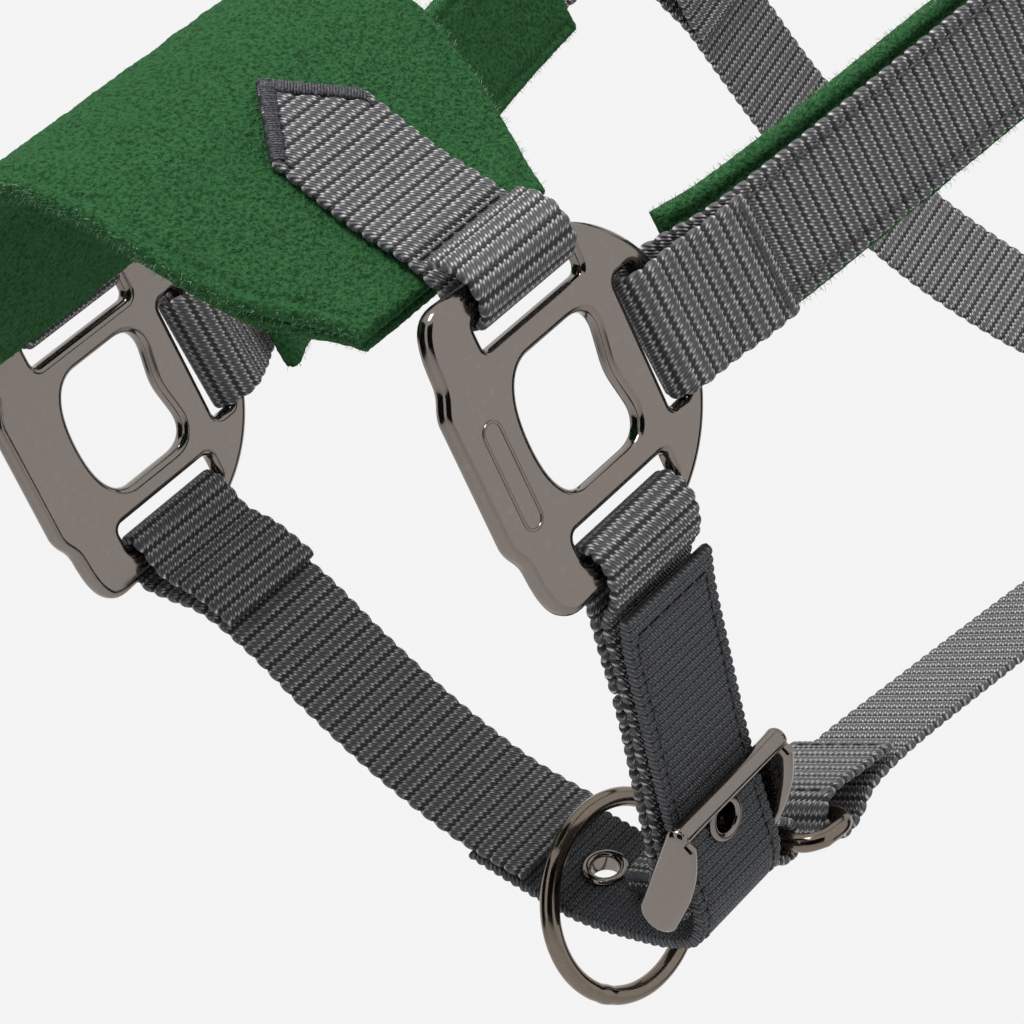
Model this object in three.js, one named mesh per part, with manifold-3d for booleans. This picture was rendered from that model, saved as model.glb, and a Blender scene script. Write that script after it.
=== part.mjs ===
// A full-size horse head halter (headcollar) in 25 mm webbing, with a wide fleece nose pad,
// cast three-slot side squares, a chin strap that adjusts on a roller-bar buckle, a lead ring,
// a jaw strap, a throat strap that closes with a swivel snap, and a crown strap with a buckle.
//
// The halter is drawn in the head's own axes and then tilted as a head carries it:
//   x  across the head, + to the horse's left (the near side)
//   y  along the head, from the muzzle towards the poll
//   z  out of the front of the face, - towards the jaw
// Units are millimetres. The origin ends up under the crown, where the head carries the halter.
import * as THREE from 'three';
import { mergeVertices } from 'three/addons/utils/BufferGeometryUtils.js';
import Module from 'manifold-3d';

const wasm = await Module();
wasm.setup();

// ---------------------------------------------------------------- driving dimensions
const HEAD_TILT = THREE.MathUtils.degToRad(33);
const WEB_WIDTH = 25;
const WEB_THICK = 1.9;
const BILLET_THICK = 2.6;
const FLEECE_THICK = 3.2;
const SQUARE_X = 64;
const SQUARE_THICK = 4;
const SLOT_BAR_CENTRE = 27.5;
const SLOT_LENGTH = 27;
const CHEEK_RING = { x: 97, y: 215, z: 11, radius: 21, wire: 2.2 };
const CHIN_RING = { x: 13, y: 1.2, z: -112, radius: 19.1, wire: 1.9 };
const THROAT_TILT = THREE.MathUtils.degToRad(14);
const CROWN_TILT = THREE.MathUtils.degToRad(20);
const CROWN_TOP = 192;
const LINING_INSET = 2.5;
const LINE_TURN = THREE.MathUtils.degToRad(17);
const LINE_SAG = 0.13;
const EYELET = { hole: 2.8, barrel: 3.2, flange: 4.7, lip: 0.5 };

// ---------------------------------------------------------------- materials
const finish = (color, roughness, metalness) => new THREE.MeshStandardMaterial({ color, roughness, metalness });
const gunmetal = finish(0x6b625c, 0.25, 1);
const webbing = finish(0x54565b, 0.8, 0);
const billetCloth = finish(0x45474c, 0.85, 0);
const fleece = finish(0x2a743e, 0.95, 0);

// ---------------------------------------------------------------- solids helpers
const halter = new THREE.Group();

function addMesh(name, geometry, material, parent = halter) {
  const mesh = new THREE.Mesh(geometry, material);
  mesh.name = name;
  parent.add(mesh);
  return mesh;
}

function toSolid(geometry) {
  const bare = geometry.index ? geometry.toNonIndexed() : geometry.clone();
  for (const key of Object.keys(bare.attributes)) if (key !== 'position') bare.deleteAttribute(key);
  const merged = mergeVertices(bare, 1e-4);
  const mesh = new wasm.Mesh({
    numProp: 3,
    vertProperties: new Float32Array(merged.attributes.position.array),
    triVerts: new Uint32Array(merged.index.array),
  });
  mesh.merge();
  return new wasm.Manifold(mesh);
}

function toGeometry(solid) {
  const mesh = solid.getMesh();
  const geometry = new THREE.BufferGeometry();
  geometry.setAttribute('position', new THREE.BufferAttribute(new Float32Array(mesh.vertProperties), 3));
  geometry.setIndex(new THREE.BufferAttribute(new Uint32Array(mesh.triVerts), 1));
  return geometry;
}

const joined = (...parts) => toGeometry(parts.map(toSolid).reduce((sum, part) => sum.add(part)));
const cut = (body, ...tools) => toGeometry(tools.map(toSolid).reduce((sum, tool) => sum.subtract(tool), toSolid(body)));
const common = (a, b) => toGeometry(toSolid(a).intersect(toSolid(b)));
const points = (pairs) => pairs.map(([a, b]) => new THREE.Vector2(a, b));

// Closed planes in which the strap sections are drawn. Each takes (a, b, across) to (x, y, z).
const acrossHead = new THREE.Matrix4().makeRotationX(Math.PI / 2); // section in x-z, width along y
const sagittal = new THREE.Matrix4().makeBasis( // section in y-z, width along x
  new THREE.Vector3(0, 1, 0), new THREE.Vector3(0, 0, 1), new THREE.Vector3(1, 0, 0));

// A strap's middle line: a smooth curve through chosen points, sampled more closely where it turns.
function middleLine(pairs) {
  const knots = pairs.map(([a, b]) => new THREE.Vector3(a, b, 0));
  const curve = new THREE.CatmullRomCurve3(knots, false, 'centripetal');
  const fine = curve.getSpacedPoints(900).map((p) => new THREE.Vector2(p.x, p.y));
  const line = [fine[0]];
  let heading = fine[1].clone().sub(fine[0]);
  for (let i = 1; i < fine.length - 1; i += 1) {
    const onward = fine[i + 1].clone().sub(fine[i]);
    const turned = Math.abs(heading.angleTo(onward));
    const sag = (turned * fine[i].distanceTo(line.at(-1))) / 8;
    if (turned > LINE_TURN || sag > LINE_SAG) {
      line.push(fine[i]);
      heading = onward;
    }
  }
  return [...line, fine.at(-1)];
}

function normalsAlong(line) {
  return line.map((_, i) => {
    const before = line[Math.max(i - 1, 0)];
    const after = line[Math.min(i + 1, line.length - 1)];
    const along = after.clone().sub(before).normalize();
    return new THREE.Vector2(-along.y, along.x);
  });
}

const offsetLine = (line, distance) => {
  const normals = normalsAlong(line);
  return line.map((p, i) => p.clone().addScaledVector(normals[i], distance));
};

// A strap or pad of constant thickness, drawn along its middle line and extruded to its width.
function ribbon(line, thickness, width) {
  const left = offsetLine(line, thickness / 2);
  const right = offsetLine(line, -thickness / 2).reverse();
  const geometry = new THREE.ExtrudeGeometry(new THREE.Shape([...left, ...right]), {
    depth: width, bevelEnabled: false, steps: 1,
  });
  return geometry.translate(0, 0, -width / 2);
}

// Points of a turn round a bar: an elliptical arc from one angle to another, in degrees.
function turn([a, b], [ra, rb], from, to, count = 7) {
  return Array.from({ length: count }, (_, i) => {
    const angle = THREE.MathUtils.degToRad(from + ((to - from) * i) / (count - 1));
    return [a + ra * Math.cos(angle), b + rb * Math.sin(angle)];
  });
}

const mirrored = (geometry) => {
  const flipped = geometry.index ? geometry.toNonIndexed() : geometry.clone();
  flipped.applyMatrix4(new THREE.Matrix4().makeScale(-1, 1, 1));
  const p = flipped.attributes.position;
  for (let i = 0; i < p.count; i += 3) {
    const a = new THREE.Vector3().fromBufferAttribute(p, i);
    const b = new THREE.Vector3().fromBufferAttribute(p, i + 1);
    p.setXYZ(i, b.x, b.y, b.z);
    p.setXYZ(i + 1, a.x, a.y, a.z);
  }
  for (const key of Object.keys(flipped.attributes)) if (key !== 'position') flipped.deleteAttribute(key);
  return flipped;
};

// A round bar that follows a path of 3-D points.
function rod(path, radius, steps, closed = false, sides = 10) {
  const curve = new THREE.CatmullRomCurve3(path.map((p) => new THREE.Vector3(...p)), closed, 'centripetal');
  const section = new THREE.Shape();
  section.absarc(0, 0, radius, 0, 2 * Math.PI, false);
  return new THREE.ExtrudeGeometry(section, {
    steps, extrudePath: curve, bevelEnabled: false, curveSegments: sides,
  });
}

// A round-wire ring about the x axis.
function wireRing({ radius, wire }) {
  const sides = 8;
  const profile = Array.from({ length: sides + 1 }, (_, i) => {
    const angle = (2 * Math.PI * i) / sides;
    return new THREE.Vector2(radius + wire * Math.cos(angle), wire * Math.sin(angle));
  });
  return new THREE.LatheGeometry(profile, 28).rotateZ(Math.PI / 2);
}

const bar = (radius, length) => new THREE.CylinderGeometry(radius, radius, length, 12);

// ---------------------------------------------------------------- side squares
// Outline in the plate's plane: p along the head, q down towards the jaw.
function squareOutline() {
  const outline = new THREE.Shape();
  const arc = { radius: 30.2, end: THREE.MathUtils.degToRad(70) };
  outline.moveTo(-18.5, 30.4);
  outline.absarc(0, 0, arc.radius + 0.6, arc.end, -arc.end, true);
  outline.lineTo(-18.5, -30.4);
  outline.bezierCurveTo(-24.5, -30.4, -25.0, -24, -25.2, -19);
  outline.bezierCurveTo(-25.4, -15.5, -27.4, -15.5, -27.6, -11.5);
  outline.lineTo(-27.6, 11.5);
  outline.bezierCurveTo(-27.4, 15.5, -25.4, 15.5, -25.2, 19);
  outline.bezierCurveTo(-25.0, 24, -24.5, 30.4, -18.5, 30.4);
  return outline;
}

function squareOpening() {
  const hole = new THREE.Path();
  hole.moveTo(-13.2, 0);
  hole.bezierCurveTo(-13.2, -9, -10, -13.2, -5, -13.2);
  hole.lineTo(5.5, -13.2);
  hole.bezierCurveTo(10, -13.2, 11.4, -10.5, 11, -7.5);
  hole.bezierCurveTo(10.2, -3, 9.8, -2, 9.8, 0);
  hole.bezierCurveTo(9.8, 2, 10.2, 3, 11, 7.5);
  hole.bezierCurveTo(11.4, 10.5, 10, 13.2, 5.5, 13.2);
  hole.lineTo(-5, 13.2);
  hole.bezierCurveTo(-10, 13.2, -13.2, 9, -13.2, 0);
  return hole;
}

// A strap slot with eased corners, between two bars.
function slot(centre, across, alongP) {
  const half = SLOT_LENGTH / 2;
  const deep = across / 2;
  const r = 0.9;
  const hole = new THREE.Path();
  const place = (along, side) => (alongP
    ? [centre[0] + along, centre[1] + side]
    : [centre[0] - side, centre[1] + along]);
  const corners = [
    [-half + r, -deep], [half - r, -deep], [half, -deep + r], [half, deep - r],
    [half - r, deep], [-half + r, deep], [-half, deep - r], [-half, -deep + r],
  ];
  corners.forEach(([along, side], i) => (i ? hole.lineTo(...place(along, side)) : hole.moveTo(...place(along, side))));
  return hole;
}

function sideSquare() {
  const outline = squareOutline();
  outline.holes.push(squareOpening());
  outline.holes.push(slot([-0.3, -21.3], 6.2, true));
  outline.holes.push(slot([-0.3, 21.3], 6.2, true));
  outline.holes.push(slot([21.2, 0], 5.6, false));
  const bevel = 0.9;
  const plate = new THREE.ExtrudeGeometry(outline, {
    depth: SQUARE_THICK - 2 * bevel, curveSegments: 4, bevelThickness: bevel,
    bevelSize: bevel, bevelOffset: -bevel, bevelSegments: 1,
  });
  plate.translate(0, 0, -(SQUARE_THICK - 2 * bevel) / 2);
  // (p, q, thickness) to (y, -z, x)
  return plate.applyMatrix4(new THREE.Matrix4().makeBasis(
    new THREE.Vector3(0, 1, 0), new THREE.Vector3(0, 0, -1), new THREE.Vector3(-1, 0, 0)));
}

const plate = sideSquare();
addMesh('near_side_square', plate, gunmetal).position.x = SQUARE_X;
addMesh('far_side_square', mirrored(plate), gunmetal).position.x = -SQUARE_X;

// ---------------------------------------------------------------- noseband: pad and webbing tabs
const NOSE_ARCH = [[57.9, 32.2], [45, 43.5], [33, 56], [20, 67.5], [0, 75]];
const noseArchPoints = [...NOSE_ARCH, ...NOSE_ARCH.slice(0, -1).reverse().map(([x, z]) => [-x, z])];
const PAD_BACK = [[62, 12], [60.5, 14.5], [58, 19.2], [52.7, 22.4], [45, 27.8], [41.5, 30], [30, 36.3], [18, 39], [0, 40]];
const PAD_FRONT = [[62, 21], [60.5, 25], [58, 27], [51, 30.5], [45, 35], [40, 38.9], [30, 42], [18, 43.5], [0, 44]];

// The pad's plan, seen from the front of the face, symmetrical side to side.
function padPlan(grow) {
  const back = PAD_BACK.map(([x, y]) => [x, y + grow]);
  const front = PAD_FRONT.map(([x, y]) => [x, -y - grow]);
  const right = [...front.reverse(), ...back];
  const left = right.slice(1, -1).reverse().map(([x, y]) => [-x, y]);
  const prism = new THREE.ExtrudeGeometry(new THREE.Shape(points([...right, ...left])), {
    depth: 90, bevelEnabled: false,
  });
  return prism.translate(0, 0, 10);
}

function padLayer(inset, grow) {
  const line = offsetLine(middleLine(noseArchPoints), inset);
  return common(ribbon(line, FLEECE_THICK, 100).applyMatrix4(acrossHead), padPlan(grow));
}

const shellInset = WEB_THICK / 2 + 0.5 + FLEECE_THICK / 2;
addMesh('nose_pad_shell', padLayer(shellInset, 0), fleece);
addMesh('nose_pad_lining', padLayer(shellInset + FLEECE_THICK + 0.3, -LINING_INSET), fleece);

// Webbing tab: pointed on the pad, round the upper bar of the square, with its end on the outside.
const wrapRadii = [SQUARE_THICK / 2 + 1.0 + WEB_THICK / 2, 3 + 1.2 + WEB_THICK / 2];
const noseTabPath = [
  [22.8, 65.9], [33, 56], [45, 43.5], [55.9, 34.5],
  ...turn([SQUARE_X, SLOT_BAR_CENTRE], wrapRadii, 180, 360, 9),
  [67.0, 31.2], [63.6, 34.0], [59.9, 34.9],
];

function noseTab() {
  const strap = ribbon(middleLine(noseTabPath), WEB_THICK, WEB_WIDTH).applyMatrix4(acrossHead);
  const pointed = new THREE.Shape(points([[22.5, 0], [34.5, 14], [90, 14], [90, -14], [34.5, -14]].reverse()));
  const keep = new THREE.ExtrudeGeometry(pointed, { depth: 90, bevelEnabled: false });
  return common(strap, keep);
}

addMesh('near_nose_tab', noseTab(), webbing);
addMesh('far_nose_tab', mirrored(noseTab()), webbing);

// ---------------------------------------------------------------- cheekpieces
const ringFront = CHEEK_RING.y - CHEEK_RING.radius;
const ringWrap = CHEEK_RING.wire + 1.05 + WEB_THICK / 2;
const CHEEK_LIFT = Math.atan2(CHEEK_RING.z, CHEEK_RING.y - SLOT_BAR_CENTRE);
const cheekPath = [
  [73.6, 47.5], [71.6, 38.5], [70.0, 34.6],
  ...turn([SQUARE_X, SLOT_BAR_CENTRE], [wrapRadii[0] + 0.3, wrapRadii[1] + 1.0], 0, -180, 9),
  [63.6, 35.0], [68.2, 42.0], [73.5, 62], [83, 110], [91.5, 150], [96, 178],
  ...turn([CHEEK_RING.x, ringFront + 5.0], [ringWrap, ringWrap], 180, 0, 9),
  [99.4, 183], [97.4, 168],
];
const cheekLiningPath = [[59.5, 38.5], [64.0, 46], [69.2, 64], [78.4, 111], [86.9, 150.5], [90.2, 172]];

function cheekBand(path, thickness, width) {
  const band = ribbon(middleLine(path), thickness, width);
  const lift = new THREE.Matrix4().makeRotationX(CHEEK_LIFT);
  const back = new THREE.Matrix4().makeTranslation(0, SLOT_BAR_CENTRE, 0);
  const fore = new THREE.Matrix4().makeTranslation(0, -SLOT_BAR_CENTRE, 0);
  return band.applyMatrix4(back.multiply(lift).multiply(fore));
}

const cheekStrap = cheekBand(cheekPath, WEB_THICK, WEB_WIDTH);
const cheekLining = cheekBand(cheekLiningPath, 4.5, 30);
addMesh('near_cheek_strap', cheekStrap, webbing);
addMesh('far_cheek_strap', mirrored(cheekStrap), webbing);
addMesh('near_cheek_lining', cheekLining, fleece);
addMesh('far_cheek_lining', mirrored(cheekLining), fleece);

const cheekRing = wireRing(CHEEK_RING);
for (const [name, side] of [['near_cheek_ring', 1], ['far_cheek_ring', -1]]) {
  addMesh(name, cheekRing, gunmetal).position.set(side * CHEEK_RING.x, CHEEK_RING.y, CHEEK_RING.z);
}

// ---------------------------------------------------------------- eyelets
function eyelet(thickness) {
  const { hole, barrel, flange, lip } = EYELET;
  const half = thickness / 2;
  const gap = 0.6;
  const profile = points([
    [hole, -half - gap - lip], [flange, -half - gap - lip * 0.4], [flange, -half - gap], [barrel, -half - gap],
    [barrel, half + gap], [flange, half + gap], [flange, half + gap + lip * 0.4], [hole, half + gap + lip],
    [hole, -half - gap - lip],
  ]);
  return new THREE.LatheGeometry(profile, 12);
}

// The strap's holes and its eyelets, at given distances along the middle line.
function atDistance(line, distance) {
  let left = distance;
  for (let i = 1; i < line.length; i += 1) {
    const step = line[i].distanceTo(line[i - 1]);
    if (left <= step) {
      const along = line[i].clone().sub(line[i - 1]).normalize();
      return { at: line[i - 1].clone().addScaledVector(along, left), angle: Math.atan2(along.y, along.x) };
    }
    left -= step;
  }
  throw new Error('distance is past the end of the strap');
}

const drill = (line, distance) => {
  const { at, angle } = atDistance(line, distance);
  return bar(EYELET.barrel + 0.6, 12).rotateZ(angle).translate(at.x, at.y, 0);
};

function addEyelet(name, line, distance, thickness, frame, parent) {
  const { at, angle } = atDistance(line, distance);
  addMesh(name, eyelet(thickness).rotateZ(angle).translate(at.x, at.y, 0).applyMatrix4(frame), gunmetal, parent);
}

// ---------------------------------------------------------------- chin straps
const CHIN_HINGE = [43.5, -100.3];
const CHIN_FRONT_BAR = [57.6, -82.2];
const billetPath = [
  [66.2, -37.2], [63.3, -44.5], [58.9, -60], [54.0, -78], [52.3, -86], [50.4, -96], [48.8, -104],
  [44.8, -109], [38, -110.4], [30, -109.8], [15.4, -106.8], [7, -102.5], [-2, -97.0], [-7, -93.8],
];
const chinStayPath = [
  [55.1, -53.0], [57.0, -44], [58.9, -35.5],
  ...turn([SQUARE_X, -SLOT_BAR_CENTRE], wrapRadii, 180, 0, 9),
  [66.0, -33.2], [61.4, -37.6], [59.6, -44], [55.8, -60], [49.5, -80], [46.7, -90], [46.5, -96],
  ...turn(CHIN_HINGE, [3.35, 3.35], 0, -180, 9),
  [43.8, -91], [47.1, -80], [53.3, -60], [54.7, -54.4],
];
const farChin = [
  [-44.2, -41.6], [-51.2, -34.4], [-58.0, -30.5],
  ...turn([-SQUARE_X, -SLOT_BAR_CENTRE], wrapRadii, 20, 190, 9),
  [-66.6, -32.6], [-60.2, -35.6], [-52.2, -38.6], [-44.4, -46.3], [-33.6, -62.6], [-22.6, -76.6],
  [-9.8, -88.9], [-2.0, -94.0], [5.4, -98.1],
];

const billetLine = middleLine(billetPath);
const CHIN_EYELETS = [53.6, 108.2];

function chinBillet() {
  const strap = ribbon(billetLine, BILLET_THICK, WEB_WIDTH);
  return cut(strap, ...CHIN_EYELETS.map((d) => drill(billetLine, d))).applyMatrix4(acrossHead);
}

function chinStay() {
  const strap = ribbon(middleLine(chinStayPath), WEB_THICK, WEB_WIDTH);
  const prongSlot = new THREE.BoxGeometry(12.6, 19.4, 5.4).translate(CHIN_HINGE[0] + 1.3, CHIN_HINGE[1] + 4.8, 0);
  return cut(strap, prongSlot).applyMatrix4(acrossHead);
}

addMesh('near_chin_stay', chinStay(), webbing);
addMesh('far_chin_strap', ribbon(middleLine(farChin), WEB_THICK, WEB_WIDTH).applyMatrix4(acrossHead), webbing);
addMesh('chin_billet', chinBillet(), billetCloth);
CHIN_EYELETS.forEach((d, i) => addEyelet(`chin_eyelet_${i + 1}`, billetLine, d, BILLET_THICK, acrossHead, halter));

addMesh('chin_ring', wireRing(CHIN_RING), gunmetal).position.set(CHIN_RING.x, CHIN_RING.y, CHIN_RING.z);

// ---------------------------------------------------------------- prong buckles
// Section plane of a buckle: (a, b) across the strap's thickness and along it; the bars lie on the
// extrusion axis. The side arms are crescent plates from the hinge bar to the front bar.
const HINGE_BAR = 2.0;
const FRONT_BAR = 1.8;
const ARM = { inside: 13.6, thick: 3.0 };

function buckleFrame(hinge, front, bulge) {
  const span = 2 * (ARM.inside + ARM.thick);
  const along = new THREE.Vector2(front[0] - hinge[0], front[1] - hinge[1]);
  const normal = new THREE.Vector2(along.y, -along.x).normalize().multiplyScalar(bulge);
  const heel = Math.atan2(along.y, along.x);
  const outline = new THREE.Shape();
  const side = bulge > 0 ? 1 : -1;
  outline.absarc(...hinge, 4.2, heel + side * Math.PI / 2, heel - side * Math.PI / 2, side < 0);
  const far = [front[0] + normal.x * 0.12, front[1] + normal.y * 0.12];
  outline.quadraticCurveTo(
    hinge[0] + along.x * 0.55 + normal.x, hinge[1] + along.y * 0.55 + normal.y,
    far[0] + normal.x / Math.abs(bulge) * 2, far[1] + normal.y / Math.abs(bulge) * 2);
  outline.absarc(...front, 2.2, heel - side * Math.PI / 2, heel + side * Math.PI / 2, side < 0);
  const arm = new THREE.ExtrudeGeometry(outline, { depth: ARM.thick, bevelEnabled: false, curveSegments: 4 });
  const nearArm = arm.clone().translate(0, 0, ARM.inside);
  const farArm = arm.clone().translate(0, 0, -ARM.inside - ARM.thick);
  const hingeBar = bar(HINGE_BAR, span - 1).rotateX(Math.PI / 2).translate(...hinge, 0);
  const frontBar = bar(FRONT_BAR, span - 1).rotateX(Math.PI / 2).translate(...front, 0);
  return joined(nearArm, farArm, hingeBar, frontBar);
}

// A prong: an eye that turns on the hinge bar and a pin that follows the given points.
function buckleProng(hinge, pin, radius) {
  const eye = cut(bar(HINGE_BAR + 0.25 + 1.1, 3.6), bar(HINGE_BAR + 0.25, 8)).rotateX(Math.PI / 2);
  eye.translate(...hinge, 0);
  return joined(eye, rod(pin.map(([a, b]) => [a, b, 0]), radius, 10, false, 3));
}

addMesh('chin_buckle_frame', buckleFrame(CHIN_HINGE, CHIN_FRONT_BAR, 7).applyMatrix4(acrossHead), gunmetal);
const chinProngPin = [[45.6, -98.2], [46.6, -95.0], [47.3, -91.8], [48.8, -89.4], [50.5, -88.5]];
addMesh('chin_buckle_prong', buckleProng(CHIN_HINGE, chinProngPin, 0.95).applyMatrix4(acrossHead), gunmetal);

// ---------------------------------------------------------------- jaw strap
const JAW_TURN = THREE.MathUtils.degToRad(5);
const TAB_ROLL = THREE.MathUtils.degToRad(4.7);
const JAW_LOOP = { front: [25, -114.6], rear: [36.5, -116.6], wire: 1.8 };
const jaw = new THREE.Group();
jaw.position.set(30.5, 0, 0);
jaw.rotation.z = JAW_TURN;
halter.add(jaw);
const loopWrap = JAW_LOOP.wire + 0.9 + WEB_THICK / 2;

const jawTabPath = [
  [-4, -105.65], [10, -105.6], [14.2, -107.0], [17.3, -111.6], [19.6, -115.4],
  ...turn(JAW_LOOP.front, [loopWrap, loopWrap], 232, 412, 8),
  [23.3, -108.4], [18.6, -105.2], [13.5, -103.4], [-3, -103.2],
];
const tabRoll = new THREE.Matrix4().makeTranslation(0, 0, -108.9)
  .multiply(new THREE.Matrix4().makeRotationY(TAB_ROLL))
  .multiply(new THREE.Matrix4().makeTranslation(0, 0, 108.9));
const jawTab = ribbon(middleLine(jawTabPath), WEB_THICK, 16).applyMatrix4(sagittal);
addMesh('jaw_tab', jawTab.applyMatrix4(tabRoll), webbing, jaw);

function rectangularLoop({ front, rear, wire }) {
  const half = WEB_WIDTH / 2 + 0.6 + wire;
  const corner = 2.6;
  const path = [
    [half, front, corner], [half, rear, -corner], [half - corner, rear, 0], [half * 0.4, rear, 0],
    [-half * 0.4, rear, 0], [-half + corner, rear, 0], [-half, rear, -corner], [-half, front, corner],
    [-half + corner, front, 0], [-half * 0.4, front, 0], [half * 0.4, front, 0], [half - corner, front, 0],
  ];
  const slope = new THREE.Vector2(rear[0] - front[0], rear[1] - front[1]).normalize();
  const spots = path.map(([x, end, inset]) => [x, end[0] + slope.x * inset, end[1] + slope.y * inset]);
  return rod(spots, wire, 36, true, 3);
}

addMesh('jaw_strap_loop', rectangularLoop(JAW_LOOP).applyMatrix4(tabRoll), gunmetal, jaw);

const throatDrop = 165;
const throatCentre = [
  CHEEK_RING.y + Math.sin(THROAT_TILT) * throatDrop,
  CHEEK_RING.z - Math.cos(THROAT_TILT) * throatDrop,
];
// Points beside the throat strap's section: m along its width, w out of the throat.
const besideThroat = (m, w) => [
  throatCentre[0] + Math.cos(THROAT_TILT) * m + Math.sin(THROAT_TILT) * w,
  throatCentre[1] + Math.sin(THROAT_TILT) * m - Math.cos(THROAT_TILT) * w,
];
const jawStrapPath = [
  [58, -116.1], [46, -113.7], [41, -112.5],
  ...turn(JAW_LOOP.rear, [loopWrap + 0.9, loopWrap + 0.9], 90, 270, 7),
  [41, -120.9], [47, -118.9], [58, -119.2], [100, -126.5], [170, -140], [222, -151.0],
  besideThroat(-15, 3.6), besideThroat(10, 3.6), besideThroat(14.2, 3.4), besideThroat(17.3, 0),
  besideThroat(14.2, -3.4), besideThroat(10, -3.6), besideThroat(-11, -3.6),
  [235.6, -148.8], [224, -148.0], [212, -145.8],
];
addMesh('jaw_strap', ribbon(middleLine(jawStrapPath), WEB_THICK, WEB_WIDTH).applyMatrix4(sagittal), webbing, jaw);

// ---------------------------------------------------------------- throat strap and snap
// Drawn in a plane through both cheek rings: a across the head, b down round the throat.
const throat = new THREE.Group();
throat.position.set(0, CHEEK_RING.y, CHEEK_RING.z);
throat.rotation.x = -Math.PI / 2 + THROAT_TILT;
halter.add(throat);
const ringEdge = CHEEK_RING.radius;
const SNAP = { x: CHEEK_RING.x, eye: 66, swivel: 57, hook: 26 };

const throatPath = [
  [-94.6, 40], [-94.8, 34], [-93.6, 27.4],
  ...turn([-CHEEK_RING.x, ringEdge - 4.4], [ringWrap, ringWrap], 0, -180, 9),
  [-99.6, 28], [-97.4, 36], [-97.0, 48], [-95, 78], [-83, 118], [-56, 151], [-28, 163],
  [0, throatDrop], [28, 163], [56, 151], [83, 120], [95, 88], [98.2, 76],
  ...turn([SNAP.x, SNAP.eye], [3.9, 3.9], 0, -180, 9),
  [94.4, 75], [92.2, 86], [88.4, 97],
];
addMesh('throat_strap', ribbon(middleLine(throatPath), WEB_THICK, WEB_WIDTH), webbing, throat);

// Swivel eye: a flat loop that the strap folds round, with a stud that the hook turns on.
function snapEye() {
  const half = WEB_WIDTH / 2 + 2.9;
  const loop = rod([
    [SNAP.x, SNAP.eye, -half + 3], [SNAP.x, SNAP.eye, -5], [SNAP.x, SNAP.eye, 5],
    [SNAP.x, SNAP.eye, half - 3], [SNAP.x, SNAP.eye - 3, half], [SNAP.x, SNAP.eye - 6, half - 0.6],
    [SNAP.x, SNAP.swivel - 1, 5], [SNAP.x, SNAP.swivel - 1.6, 0], [SNAP.x, SNAP.swivel - 1, -5],
    [SNAP.x, SNAP.eye - 6, -half + 0.6], [SNAP.x, SNAP.eye - 3, -half],
  ], 1.9, 36, true, 3);
  const stud = bar(2.2, 8).translate(SNAP.x, SNAP.swivel - 4.6, 0);
  const head = bar(3.4, 1.6).translate(SNAP.x, SNAP.swivel - 9.2, 0);
  return joined(loop, stud, head);
}

// Hook body: a barrel over the stud, a shank and a hook round the cheek ring's wire.
function snapHook() {
  const top = SNAP.swivel - 4.0;
  const barrel = bar(5.2, 9).translate(SNAP.x, top - 4.5, 0);
  const bore = bar(2.5, 5).translate(SNAP.x, top - 1.5, 0);
  const pocket = bar(3.8, 4.2).translate(SNAP.x, top - 5.6, 0);
  const window = new THREE.BoxGeometry(12, 3.4, 4.6).translate(SNAP.x - 6, top - 5.6, 0);
  const hook = rod([
    [SNAP.x, top - 7, 0], [SNAP.x - 1.5, top - 12, 0], [SNAP.x - 6.4, top - 19, 0], [SNAP.x - 7.2, top - 28, 0],
    [SNAP.x - 5.4, top - 34, 0], [SNAP.x - 0.4, top - 37.8, 0], [SNAP.x + 5.0, top - 35.8, 0],
    [SNAP.x + 6.4, top - 31.4, 0],
  ], 2.3, 20, false, 4);
  const tubeBody = bar(3.4, 10).translate(SNAP.x + 6.2, top - 11.2, 0);
  const bridge = new THREE.BoxGeometry(12, 4, 5).translate(SNAP.x + 2, top - 9.6, 0);
  const boltBore = bar(2.1, 14).translate(SNAP.x + 6.2, top - 15.4, 0);
  const knobSlot = new THREE.BoxGeometry(6, 10.4, 2.6).translate(SNAP.x + 9.4, top - 13.1, 0);
  return cut(joined(barrel, hook, tubeBody, bridge), bore, pocket, window, boltBore, knobSlot);
}

// Spring bolt: a sliding pin with a thumb knob that closes the hook's mouth.
function snapBolt() {
  const top = SNAP.swivel - 4.0;
  const pin = bar(1.8, 15).translate(SNAP.x + 6.2, top - 23, 0);
  const knob = bar(1.0, 4.6).rotateZ(Math.PI / 2).translate(SNAP.x + 8.6, top - 16.2, 0);
  const thumb = new THREE.SphereGeometry(1.9, 10, 8).translate(SNAP.x + 11.6, top - 16.2, 0);
  return joined(pin, knob, thumb);
}

addMesh('throat_snap_eye', snapEye(), gunmetal, throat);
addMesh('throat_snap_hook', snapHook(), gunmetal, throat);
addMesh('throat_snap_bolt', snapBolt(), gunmetal, throat);

// ---------------------------------------------------------------- crown
// Drawn in a plane through both cheek rings: a across the head, b up over the poll.
const crown = new THREE.Group();
crown.position.set(0, CHEEK_RING.y, CHEEK_RING.z);
crown.rotation.x = CROWN_TILT;
halter.add(crown);
const CROWN_HINGE = [98.2, 75];
const CROWN_FRONT_BAR = [104.4, 97];

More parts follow.
